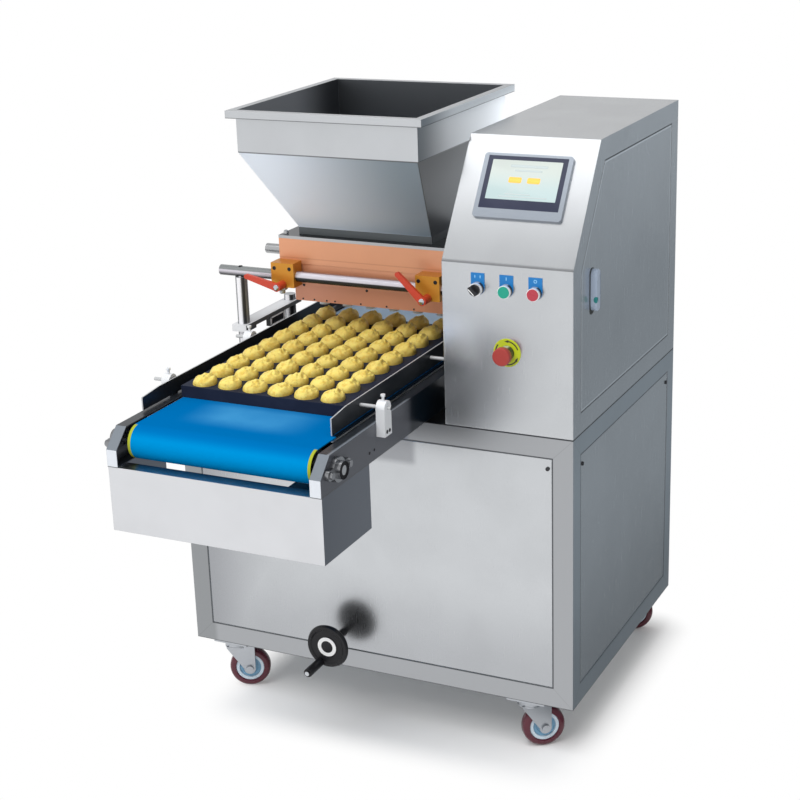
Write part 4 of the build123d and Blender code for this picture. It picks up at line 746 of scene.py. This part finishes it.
dress(plastic("tray_dark", tray_tint, 0.46, grain=700.0, wear=1.6, gloss=0.05), "baking_tray", edge=0.6)
dress(plastic("button_green", green_tint, 0.28, wear=1.1), "green_button", edge=0.8)
dress(plastic("button_red", red_tint, 0.28, wear=1.1), "red_button", edge=0.8)
dress(plastic("stop_red", stop_tint, 0.34, wear=1.1), "estop_button", edge=1.0)


def middle_of(name):
    """The middle of a node's box."""
    low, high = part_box(name)
    return (Vector(low) + Vector(high)) / 2


def bridge(mesh, rings, closed=False):
    """Join each ring of corners to the next; a ring of one corner is a tip."""
    following_rings = rings[1:]
    if closed:
        following_rings.append(rings[0])
    for lower, upper in zip(rings, following_rings):
        for index in range(max(len(lower), len(upper))):
            used = [lower[index % len(lower)], lower[(index + 1) % len(lower)],
                    upper[(index + 1) % len(upper)], upper[index % len(upper)]]
            unique = list(dict.fromkeys(used))
            if len(unique) > 2:
                mesh.faces.new(unique)


def lathe(mesh, origin, axis, profile, segments=28, closed=False):
    """Turn (radius, height) points in millimetres about an axis; closed joins the last point to the first."""
    axis = Vector(axis).normalized()
    helper = up if abs(axis.z) < 0.9 else across
    first = helper.cross(axis).normalized()
    second = axis.cross(first)
    rings = []
    for radius, height in profile:
        ring = []
        for index in range(segments if radius else 1):
            turn = tau * index / segments
            spoke = first * cos(turn) + second * sin(turn)
            ring.append(mesh.verts.new(Vector(origin) + axis * (height * mm) + spoke * (radius * mm)))
        rings.append(ring)
    bridge(mesh, rings, closed)


def slab(mesh, middle, face, width, height, thickness, corner, steps=5):
    """A plate, sized in millimetres, with round corners and a small bevel round its outer face."""
    sideways, upward, outward = face
    outline = []
    for sign_x, sign_z, start in ((1, 1, 0.0), (-1, 1, 0.5), (-1, -1, 1.0), (1, -1, 1.5)):
        for step in range(steps + 1):
            turn = pi * (start + 0.5 * step / steps)
            outline.append((sign_x * (width / 2 - corner) + corner * cos(turn),
                            sign_z * (height / 2 - corner) + corner * sin(turn)))
    bevel = min(thickness * 0.35, corner * 0.5)
    rings = []
    for shrink, lift in ((0.0, 0.0), (0.0, thickness - bevel), (bevel, thickness)):
        share_u = (1 - 2 * shrink / width) * mm
        share_v = (1 - 2 * shrink / height) * mm
        base = Vector(middle) + outward * (lift * mm)
        rings.append([mesh.verts.new(base + sideways * (u * share_u) + upward * (v * share_v))
                      for u, v in outline])
    bridge(mesh, rings)
    mesh.faces.new(rings[-1])
    mesh.faces.new(list(reversed(rings[0])))


def socket_screw(mesh, place, axis, radius, height):
    """A cap screw head with a round recess, its underside at the place given."""
    recess = radius * 0.55
    bevel = radius * 0.15
    lathe(mesh, place, axis, [(0, 0), (radius, 0), (radius, height - bevel), (radius - bevel, height),
                              (recess, height), (recess, height * 0.45), (0, height * 0.45)])


def dome_screw(mesh, place, axis, radius, height):
    """A low domed screw head."""
    lathe(mesh, place, axis, [(0, 0), (radius, 0), (radius, height * 0.35), (radius * 0.85, height * 0.75),
                              (radius * 0.5, height * 0.96), (0, height)])


def piece(name, made, body, shapes, smooth=40, replaces=()):
    """Build a named piece that rides a body; each of its shapes is a function and what it is given."""
    mesh = bmesh.new()
    for shape, *given in shapes:
        shape(mesh, *given)
    bmesh.ops.recalc_face_normals(mesh, faces=mesh.faces)
    for edge in mesh.edges:
        if len(edge.link_faces) == 2 and edge.calc_face_angle(0.0) > radians(smooth):
            edge.smooth = False
    for face in mesh.faces:
        face.smooth = True
    data = bpy.data.meshes.new(name)
    mesh.to_mesh(data)
    mesh.free()
    data.materials.append(made.material)
    obj = bpy.data.objects.new(name, data)
    scene.collection.objects.link(obj)
    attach(obj, body)
    if replaces:
        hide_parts(*replaces)


scene = bpy.context.scene
across = Vector((1, 0, 0))
along = Vector((0, 1, 0))
up = Vector((0, 0, 1))
front_out = -along
slant_up = Vector((0, cos(slant_turn), sin(slant_turn)))
slant_out = Vector((0, -sin(slant_turn), cos(slant_turn)))
front_side = (across, up, front_out)
right_side = (along, up, across)
slant_side = (across, slant_up, slant_out)

# Piped dough on the tray
dough_low, dough_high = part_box("dough_portions")
dough_columns = 6
dough_rows = 9
dough_radius = 29 * mm
dough_pitch_x = (dough_high[0] - dough_low[0] - 2 * dough_radius) / (dough_columns - 1)
dough_pitch_y = (dough_high[1] - dough_low[1] - 2 * dough_radius) / (dough_rows - 1)
dough_height = dough_high[2] - dough_low[2]
dome_share = 0.85
front_share = 0.84
dome_lean = Vector((8.0, 3.0)) * mm
nub_radius = 4.5 * mm
nub_offset = Vector((3.5, 2.5)) * mm
nub_wander = 2.5
dent_offset = Vector((10.0, -4.0)) * mm
dent_radius = 5.5 * mm
dent_depth = 3.5 * mm
sway_scale = 1.3
sway_share = 0.05
pull_in = 0.04
lump_scale = 130
lump_height = 3.6 * mm
lump_phase = 9
crumb_scale = 320
crumb_height = 1.5 * mm
crumb_phase = 23
dough_rings = 18
dough_steps = 36


def dough_mound(mesh, row, column, dice):
    """One piped mound: a rounded dome with a small tail left where the nozzle broke off."""
    middle_x = dough_low[0] + dough_radius + column * dough_pitch_x
    middle_y = dough_low[1] + dough_radius + row * dough_pitch_y
    whole_height = (front_share + (1 - front_share) * row / (dough_rows - 1)) * dough_height
    wander = Vector((dice.uniform(-nub_wander, nub_wander), dice.uniform(-nub_wander, nub_wander)))
    nub_place = nub_offset + wander * mm
    dent_place = nub_place + dent_offset
    nub_height = whole_height * (1 - dome_share) * dice.uniform(0.7, 1.0)
    dome_height = whole_height * dome_share * dice.uniform(0.9, 0.99)
    spread = dough_radius * dice.uniform(0.94, 0.99)
    phase = dice.uniform(0, 50)
    rings = []
    for level in range(dough_rings + 1):
        slope = (pi / 2) * level / dough_rings
        ring = []
        for step in range(dough_steps if level else 1):
            turn = tau * step / dough_steps
            sway = noise.noise(Vector((cos(turn) * sway_scale, sin(turn) * sway_scale, phase)))
            reach = spread * sin(slope) * (1 + (sway_share * sway - pull_in) * sin(slope))
            u = reach * cos(turn)
            v = reach * sin(turn)
            from_nub = (Vector((u, v)) - nub_place).length / nub_radius
            from_dent = (Vector((u, v)) - dent_place).length / dent_radius
            nub = nub_height * exp(-from_nub ** 2 / 2)
            dent = dent_depth * exp(-from_dent ** 2 / 2)
            lumps = noise.noise(Vector((u * lump_scale, v * lump_scale, phase + lump_phase)))
            crumbs = noise.noise(Vector((u * crumb_scale, v * crumb_scale, phase + crumb_phase)))
            grain = lumps * lump_height + crumbs * crumb_height
            relief = nub + (grain - dent) * cos(slope) ** 0.5
            height = min(max(dome_height * cos(slope) ** 0.75 + relief, 0.0), dough_height)
            lean = dome_lean * (height / dough_height) ** 1.5
            ring.append(mesh.verts.new((middle_x + u + lean.x, middle_y + v + lean.y, dough_low[2] + height)))
        rings.append(ring)
    bridge(mesh, rings)
    mesh.faces.new(list(reversed(rings[-1])))


dough_dice = random.Random(7)
piece("piped_dough", dough_material(), "tray",
      [(dough_mound, row, column, dough_dice)
       for row in range(dough_rows) for column in range(dough_columns)],
      smooth=80, replaces=["dough_portions"])


def mirrored(half):
    """A whole profile from the half of it that lies above the middle."""
    return [(radius, -height) for radius, height in half] + half[::-1]


# Caster wheels: treads with round shoulders, light rings, and hubs with stepped faces
tread_profile = mirrored([(34, 13), (36, 16), (43, 16), (48, 12), (49.98, 6)])
ring_profile = mirrored([(26, 9), (27, 13), (33, 13.5), (34, 13)])
hub_profile = mirrored([(5.4, 16), (11, 16), (12, 15), (13, 9), (18, 8), (19, 9.5), (26, 9)])
wheel_ring = plastic("wheel_ring", hub_ring_tint, 0.34, wear=1.1)
wheel_hub = plastic("wheel_hub", hub_tint, 0.36, wear=1.3)
for corner in corners:
    wheel = f"caster_wheel_{corner}"
    axle = joints[f"wheel_turn_{corner}"]["axis"]
    for part, made, profile, segments, smooth, replaced in (
            ("tread", wheel_tread, tread_profile, 64, 40, [wheel]),
            ("hub_ring", wheel_ring, ring_profile, 56, 25, []),
            ("hub", wheel_hub, hub_profile, 48, 25, [])):
        piece(f"{part}_{corner}", made, wheel,
              [(lathe, middle_of(wheel), axle, profile, segments, True)], smooth, replaced)

# Operator panel: lit picture with plain bars and two buttons, on the slanted face
glass_middle = middle_of("hmi_screen")
glass_corners = [Vector(vertex.co) for vertex in nodes["hmi_screen"].data.vertices]
glass_face = max((corner - glass_middle).dot(slant_out) for corner in glass_corners)
picture_middle = glass_middle + slant_out * glass_face + slant_up * 6 * mm
picture_thick = 0.25
mark_middle = picture_middle + slant_out * picture_thick * mm
mark_thick = 0.2
screen_bars = ((6, 32, 84, 6), (6, 22, 62, 4), (-8, -32, 58, 2.5), (4, -38, 110, 2.5))
piece("screen_picture", screen_material(), "base",
      [(slab, picture_middle, slant_side, 158, 90, picture_thick, 1.5)])
piece("screen_buttons", plastic("screen_amber", screen_button_tint, 0.3, wear=1.05), "base",
      [(slab, mark_middle + across * shift * mm, slant_side, 29, 13, mark_thick, 3) for shift in (-20, 22)])
piece("screen_bars", plastic("screen_grey", screen_bar_tint, 0.3, wear=1.05), "base",
      [(slab, mark_middle + (across * aside + slant_up * rise) * mm, slant_side, wide, tall, mark_thick, 1)
       for aside, rise, wide, tall in screen_bars])

# Legend plates behind the push buttons, with a bar, a ring and two bars as marks
tower_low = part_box("tower_shell")[0]
legend_thick = 1.2 * mm
legend_half = 15.5 * mm
legend_above = 33 * mm
legend_below = 14.5 * mm
legend_hole = 14.3 * mm
legend_lip = 0.5 * mm
legend_steps = 48
legend_mark_rise = 25 * mm
tiny = 1e-6


def legend_plate(mesh, middle):
    """A flat plate round a hole, standing on the tower's front face; its lower end is round."""
    turns = [tau * step / legend_steps for step in range(legend_steps)]
    turns += [atan2(v, u) % tau for u in (-legend_half, legend_half) for v in (legend_above, -legend_below)]
    rings = [[], [], [], []]
    for turn in sorted(turns):
        u = cos(turn)
        v = sin(turn)
        reach = legend_hole + legend_lip
        if v >= 0:
            reach = min(legend_half / max(abs(u), tiny), legend_above / max(v, tiny))
        spoke = across * u + up * v
        for ring, radius, lift in zip(rings, (legend_hole, reach, reach, legend_hole),
                                      (0, 0, legend_thick, legend_thick)):
            ring.append(mesh.verts.new(middle + spoke * radius + front_out * lift))
    bridge(mesh, rings, closed=True)


def on_tower_front(name):
    """The place on the tower's front face behind the middle of a node."""
    spot = middle_of(name)
    spot.y = tower_low[1]
    return spot


buttons = ("selector_knob", "green_button", "red_button")
mark_lift = up * legend_mark_rise + front_out * legend_thick
knob_mark, green_mark, red_mark = [on_tower_front(button) + mark_lift for button in buttons]
red_ring = [(2.4, 0), (3.7, 0), (3.7, mark_thick), (2.4, mark_thick)]
piece("legend_plates", plastic("legend_blue", legend_tint, 0.4, wear=1.1), "base",
      [(legend_plate, on_tower_front(button)) for button in buttons])
piece("legend_marks", plastic("legend_pale", legend_mark_tint, 0.4, wear=1.05), "base",
      [(slab, knob_mark + across * shift * mm, front_side, 1.6, 6, mark_thick, 0.4) for shift in (-6, 6)]
      + [(slab, green_mark, front_side, 1.6, 7, mark_thick, 0.4)]
      + [(lathe, red_mark, front_out, red_ring, 24, True)])

# Disc behind the emergency stop, with arrows
stop_spot = on_tower_front("estop_button")
stop_thick = 1.8
stop_profile = [(16.4, 0), (31, 0), (31, 1.2), (30.4, stop_thick), (16.4, stop_thick)]
arrow_count = 3
arrow_start = radians(20)
arrow_radius = 26.0
arrow_steps = 10
arrow_sweep = radians(62)
arrow_half = 1.3
arrow_head = radians(20)
arrow_head_half = 3.2
arrow_tip_half = 0.1


def stop_arrow(mesh, start):
    """A flat arrow bent round the stop."""
    outline = [(start + arrow_sweep * step / arrow_steps, arrow_half) for step in range(arrow_steps + 1)]
    outline.append((start + arrow_sweep, arrow_head_half))
    outline.append((start + arrow_sweep + arrow_head, arrow_tip_half))
    rings = []
    for turn, half in outline:
        spoke = across * cos(turn) + up * sin(turn)
        inner = spoke * (arrow_radius - half) + front_out * stop_thick
        outer = spoke * (arrow_radius + half) + front_out * stop_thick
        lift = front_out * mark_thick
        rings.append([mesh.verts.new(stop_spot + place * mm)
                      for place in (inner, outer, outer + lift, inner + lift)])
    bridge(mesh, rings)
    mesh.faces.new(rings[0])
    mesh.faces.new(list(reversed(rings[-1])))


piece("stop_disc", plastic("stop_lime", lime_tint, 0.38, wear=1.1), "base",
      [(lathe, stop_spot, front_out, stop_profile, 64, True)])
piece("stop_marks", mark_dark, "base",
      [(stop_arrow, tau * index / arrow_count + arrow_start) for index in range(arrow_count)])

# White strip along one edge of the selector's bar, as a painted highlight
glint_turn = radians(-45)
glint_aside = 2.6 * mm
glint_along = across * cos(glint_turn) + up * sin(glint_turn)
glint_across = glint_along.cross(front_out)
glint_spot = middle_of("selector_knob") + glint_across * glint_aside
glint_spot.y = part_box("selector_knob")[0][1]
piece("selector_edge_highlight", mark_white, "selector_knob",
      [(slab, glint_spot, (glint_across, glint_along, front_out), 1.6, 18, mark_thick, 0.5)])

# Clamp blocks: black socket screws, lever hub screws, the nut under the left block and the rod's set screw
block_low, block_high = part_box("clamp_blocks")
block_screw_z = block_high[2] - 13 * mm
piece("block_screws", black_gloss, "head",
      [(socket_screw, (x * mm, block_low[1], block_screw_z), front_out, 4.6, 1.2)
       for x in (-318, -278, 55, 97)])
for side in ("left", "right"):
    lever = f"{side}_clamp_lever"
    pivot = Vector(joints[f"{side}_lever_turn"]["pos_m"])
    pivot.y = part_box(lever)[0][1]
    piece(f"{lever}_screw", bright_steel, lever, [(dome_screw, pivot, front_out, 7, 3)])
nut_spot = Vector(block_low) + Vector((20, 14, 0)) * mm
nut_profile = [(0, 0), (13, 0), (13, 8), (13 * 0.84, 10), (0, 10)]
bolt_profile = [(0, 0), (7, 0), (7, 8), (5.5, 9.5), (0, 9.5)]
piece("block_nut", zinc, "head",
      [(lathe, nut_spot, -up, nut_profile, 6), (lathe, nut_spot - up * 9 * mm, -up, bolt_profile, 20)])
rod_screw_x = -422 * mm
rod_screw_spot = (rod_screw_x, middle_of("clamp_rod").y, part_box("clamp_rod")[1][2] - 1.2 * mm)
piece("rod_set_screw", seal_black, "head", [(socket_screw, rod_screw_spot, up, 5.5, 2)])

# Screws along the lower copper plate and the pin on the head
plate_low, plate_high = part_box("nozzle_manifold")
upper_screw_z = plate_high[2] - 11 * mm
lower_screw_z = plate_low[2] + 4.5 * mm
piece("plate_screws", dark_steel, "head",
      [(dome_screw, (x * mm, plate_low[1], upper_screw_z), front_out, 3.2, 1.6) for x in (-266, -100, 55)]
      + [(dome_screw, (x * mm, plate_low[1], lower_screw_z), front_out, 2.2, 1.2)
         for x in (-270, -240, -207, -185, -117, -50, 20)])
head_low, head_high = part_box("head_body")
pin_spot = (head_low[0] + 12 * mm, head_low[1] + 16 * mm, head_high[2])
pin_profile = [(0, 0), (6, 0), (6, 5), (5, 8), (2.5, 9.5), (0, 10)]
piece("head_pin", machined_steel, "head", [(lathe, pin_spot, up, pin_profile)])

# Dark sheet on the door behind its handle, as painted shade of a recess
latch_low, latch_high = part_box("latch_handle")
recess_shade_spot = middle_of("latch_handle") - along * 5 * mm
recess_shade_spot.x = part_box("tower_door")[1][0]
recess_shade_height = (latch_high[2] - latch_low[2]) / mm + 6
piece("latch_recess_shade", mark_dark, "tower_door",
      [(slab, recess_shade_spot, right_side, 30, recess_shade_height, 0.25, 12)])

# Flange bearings: black seals round the shaft ends and black rings round the seals
seal_profile = [(10.5, 0), (16.5, 0), (16.5, 0.6), (10.5, 0.6)]
race_profile = [(16.5, 0), (19, 0), (18.6, 1.2), (16.5, 1.2)]


def both_faces(name):
    """The left and right ends of a node's box, each with the direction out of it."""
    low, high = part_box(name)
    return ((low[0], -across), (high[0], across))


for name, profile in (("bearing_seals", seal_profile), ("bearing_races", race_profile)):
    piece(name, seal_black, "base",
          [(lathe, (x, middle_of(roller).y, middle_of(roller).z), outward, profile, 36, True)
           for roller in ("front_roller", "rear_roller") for x, outward in both_faces("flange_bearings")])

# Handwheel: light ring round its boss and a screw in front of the grip
boss_face = Vector(joints["handwheel_turn"]["pos_m"]) + front_out * 5 * mm
boss_profile = [(15, 0), (23.8, 0), (23.8, 0.8), (22.5, 1.6), (16.5, 1.6), (15, 0.8)]
piece("handwheel_ring", mark_white, "handwheel",
      [(lathe, boss_face, front_out, boss_profile, 48, True)])
grip_spot = Vector(joints["grip_turn"]["pos_m"])
grip_spot.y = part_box("handwheel")[0][1]
piece("grip_screw", bright_steel, "handwheel", [(dome_screw, grip_spot, front_out, 5.5, 1.6)])

# Rail and bracket screws, and the pins under the front cover
rail_screw_z = 791 * mm
bracket_screw_z = 826 * mm
piece("rail_screws", dark_steel, "base",
      [(dome_screw, (x, y * mm, rail_screw_z), outward, 3.2, 1.6)
       for x, outward in both_faces("side_rails") for y in (-424, -402)])
piece("bracket_screws", dark_steel, "base",
      [(socket_screw, (x, (y + shift) * mm, bracket_screw_z), outward, 4.2, 1)
       for y in (-374, -25, 408) for x, outward in both_faces("guide_blocks") for shift in (-6, 6)])
cover_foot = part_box("front_cover")[0][2]
piece("cover_pins", bright_steel, "base",
      [(dome_screw, (x * mm, y * mm, cover_foot), -up, 2.6, 5)
       for x, y in ((-296, -618), (-288, -618), (78, -618), (86, -618), (128, -462), (128, -454))])

# Sensor: silver frame round its face
sensor_low, sensor_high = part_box("tray_sensor")
sensor_face = middle_of("tray_sensor")
sensor_face.x = sensor_high[0]
sensor_length = (sensor_high[1] - sensor_low[1]) / mm
sensor_height = (sensor_high[2] - sensor_low[2]) / mm
trim_width = 3.6
trim_thick = 0.5
trim_rise = up * (sensor_height - trim_width) / 2 * mm
trim_reach = along * (sensor_length / 2 - trim_width) * mm
sensor_trim = []
for shift, long, tall in ((trim_rise, sensor_length, trim_width),
                          (trim_reach, 2 * trim_width, sensor_height)):
    for sign in (-1, 1):
        sensor_trim.append((slab, sensor_face + shift * sign, right_side, long, tall, trim_thick, 1))
piece("sensor_trim", mark_white, "head", sensor_trim)


def stage_sheet(name, corners_at, made):
    """A flat four-cornered sheet of the surroundings."""
    data = bpy.data.meshes.new(name)
    data.from_pydata(corners_at, [], [(0, 1, 2, 3)])
    data.materials.append(made.material)
    sheet = bpy.data.objects.new(name, data)
    scene.collection.objects.link(sheet)
    return sheet


def reflection_card(name, corners_at, made):
    """A flat card that shows in glossy surfaces and nowhere else."""
    card = stage_sheet(name, corners_at, made)
    card.visible_camera = False
    card.visible_diffuse = False
    card.visible_shadow = False
    card.visible_transmission = False


def card_shader(name, tint, strength=1.0):
    """A surface that gives off an even colour and reflects nothing."""
    made = Shader(name, (0.0, 0.0, 0.0), 0.0, 1.0)
    made.give("Specular IOR Level", 0.0)
    made.give("Emission Color", (*tint, 1.0))
    made.give("Emission Strength", strength)
    made.material.cycles.emission_sampling = "NONE"
    return made


def oblong(corner, first, second):
    """The corners of an oblong that reaches from one corner along two directions."""
    corner, first, second = Vector(corner), Vector(first), Vector(second)
    return [corner, corner + first, corner + first + second, corner + second]


# White floor that keeps the shadow under and beside the machine
floor_size = 240.0
shade_middle = (0.05, 0.17)
shade_half = (0.38, 0.37)
shade_fade = 0.13
shade_white = 0.06
floor_paint = plastic("floor_paint", floor_tint, 0.8, grain=60.0, depth=0.1 * mm, wear=1.02, gloss=0.0)
shade_x = (abs(floor_paint.x - shade_middle[0]) - shade_half[0]).most(0.0)
shade_y = (abs(floor_paint.y - shade_middle[1]) - shade_half[1]).most(0.0)
shade_far = shade_x.math("SQRT", shade_x * shade_x + shade_y * shade_y)
rays = floor_paint.node("ShaderNodeLightPath").outputs
camera_ray = Value(floor_paint.tree, rays["Is Camera Ray"])
glossy_ray = Value(floor_paint.tree, rays["Is Glossy Ray"])
through_ray = Value(floor_paint.tree, rays["Is Transmission Ray"])
seen = camera_ray.most(glossy_ray).most(through_ray)
white_share = shade_far.ramp(0.0, shade_fade, shade_white, 1.0) * seen
surround = floor_paint.node("ShaderNodeEmission")
surround.inputs["Color"].default_value = (1.0, 1.0, 1.0, 1.0)
surround.inputs["Strength"].default_value = 1.0
floor_mix = floor_paint.node("ShaderNodeMixShader")
mixed = (white_share.socket, floor_paint.surface.outputs[0], surround.outputs[0])
for source, target in zip(mixed, floor_mix.inputs):
    floor_paint.link(source, target)
floor_paint.link(floor_mix.outputs[0], floor_paint.tree.nodes["Material Output"].inputs["Surface"])
floor_paint.material.cycles.emission_sampling = "NONE"
floor_corner = (-floor_size / 2, -floor_size / 2, 0)
stage_sheet("floor", oblong(floor_corner, across * floor_size, along * floor_size), floor_paint)

# Grey card beside the machine's right face, with a dark foot on the floor
card_x = 1.05
card_front = -0.4
card_deep = along * 5.4
card_top = 3.0
card_foot = 4 * mm
card_inner = 0.52
card_paint = card_shader("side_card", side_card_tint)
card_base = card_paint.x.ramp(card_inner, card_x, 0.19, 0.4)
card_dip = card_paint.z.ramp(0.1, 0.4, 0.0, -0.1)
card_rise = card_paint.z.ramp(0.4, 1.1, 0.0, 0.16)
card_paint.give("Emission Strength", card_base + (card_dip + card_rise))
reflection_card("side_card", oblong((card_x, card_front, 0), card_deep, up * card_top), card_paint)
card_wide = across * (card_x - card_inner)
reflection_card("floor_card", oblong((card_inner, card_front, card_foot), card_wide, card_deep), card_paint)

# Dark strip on the floor far to the left, for the bands on round bright steel
strip_far = -4.5
strip_near = -1.5
reflection_card("dark_strip", [(strip_far, -1.0, card_foot), (strip_near, -0.55, card_foot),
                               (strip_near, 0.15, card_foot), (strip_far, 0.9, card_foot)],
                card_shader("dark_strip", dark_strip_tint, 0.05))

# Bright card over the operator's place, for the slanted face
glow_corner = (-1.1, -0.58, 2.04)
glow_wide = across * 2.2
glow_rise = Vector((0.0, 0.62, 0.78)) * 0.9
reflection_card("glow_card", oblong(glow_corner, glow_wide, glow_rise),
                card_shader("glow_card", (1.0, 1.0, 1.0), 2.0))

# Card along the tower's left wall, for the hopper's right side
wall_x = tower_low[0] - 2 * mm
wall_deep = along * 0.7
wall_foot = 0.86
wall_tall = up * 0.52
wall_paint = card_shader("wall_card", wall_card_tint)
wall_light = wall_paint.y.ramp(0.05, 0.4, 0.16, 0.7) + wall_paint.y.ramp(0.42, 0.6, 0.0, 1.5)
wall_paint.give("Emission Strength", wall_light * wall_paint.z.ramp(wall_foot, 1.02, 0.3, 1.0))
reflection_card("wall_card", oblong((wall_x, 0.0, wall_foot), wall_deep, wall_tall), wall_paint)

# Lamp over the operator's left shoulder
lamp_place = Vector((-0.5, -2.3, 4.3))
lamp_target = Vector((0.0, 0.0, 0.8))
lamp_size = 3.2
lamp_power = 170.0
lamp_data = bpy.data.lights.new("soft_box", "AREA")
lamp_data.shape = "RECTANGLE"
lamp_data.size = lamp_size
lamp_data.size_y = lamp_size
lamp_data.energy = lamp_power
lamp = bpy.data.objects.new("soft_box", lamp_data)
lamp_turn = (lamp_place - lamp_target).to_track_quat("Z", "Y").to_matrix().to_4x4()
lamp.matrix_world = Matrix.Translation(lamp_place) @ lamp_turn
lamp.visible_glossy = False
scene.collection.objects.link(lamp)

# Sky, dimmer toward the back right and overhead
sky_dim_side = (0.8, 0.5, -0.33)
world = bpy.data.worlds.new("studio")
scene.world = world
world.use_nodes = True
sky_tree = world.node_tree
sky_place = sky_tree.nodes.new("ShaderNodeTexCoord")
sky_axis = sky_tree.nodes.new("ShaderNodeVectorMath")
sky_axis.operation = "DOT_PRODUCT"
sky_axis.inputs[1].default_value = sky_dim_side
sky_parts = sky_tree.nodes.new("ShaderNodeSeparateXYZ")
for sky_node in (sky_axis, sky_parts):
    sky_tree.links.new(sky_place.outputs["Generated"], sky_node.inputs[0])
toward_dim = Value(sky_tree, sky_axis.outputs["Value"]).ramp(-0.6, 0.9, 0.95, 0.46, "LINEAR")
overhead = Value(sky_tree, sky_parts.outputs["Z"]).ramp(0.45, 0.98, 1.0, 0.6)
sky = sky_tree.nodes["Background"]
sky.inputs["Color"].default_value = (1.0, 1.0, 1.0, 1.0)
sky_tree.links.new((toward_dim * overhead).socket, sky.inputs["Strength"])

# Camera
camera_data = bpy.data.cameras.new("camera")
camera_data.lens = camera_lens
camera_data.sensor_width = camera_sensor
camera_data.clip_end = 100.0
camera = bpy.data.objects.new("camera", camera_data)
camera_heading = Matrix.Rotation(camera_azimuth, 4, "Z") @ Matrix.Rotation(pi / 2 - camera_elevation, 4, "X")
camera.matrix_world = Matrix.Translation(camera_place) @ camera_heading @ Matrix.Rotation(camera_roll, 4, "Z")
scene.collection.objects.link(camera)
scene.camera = camera
scene.view_settings.view_transform = "Standard"
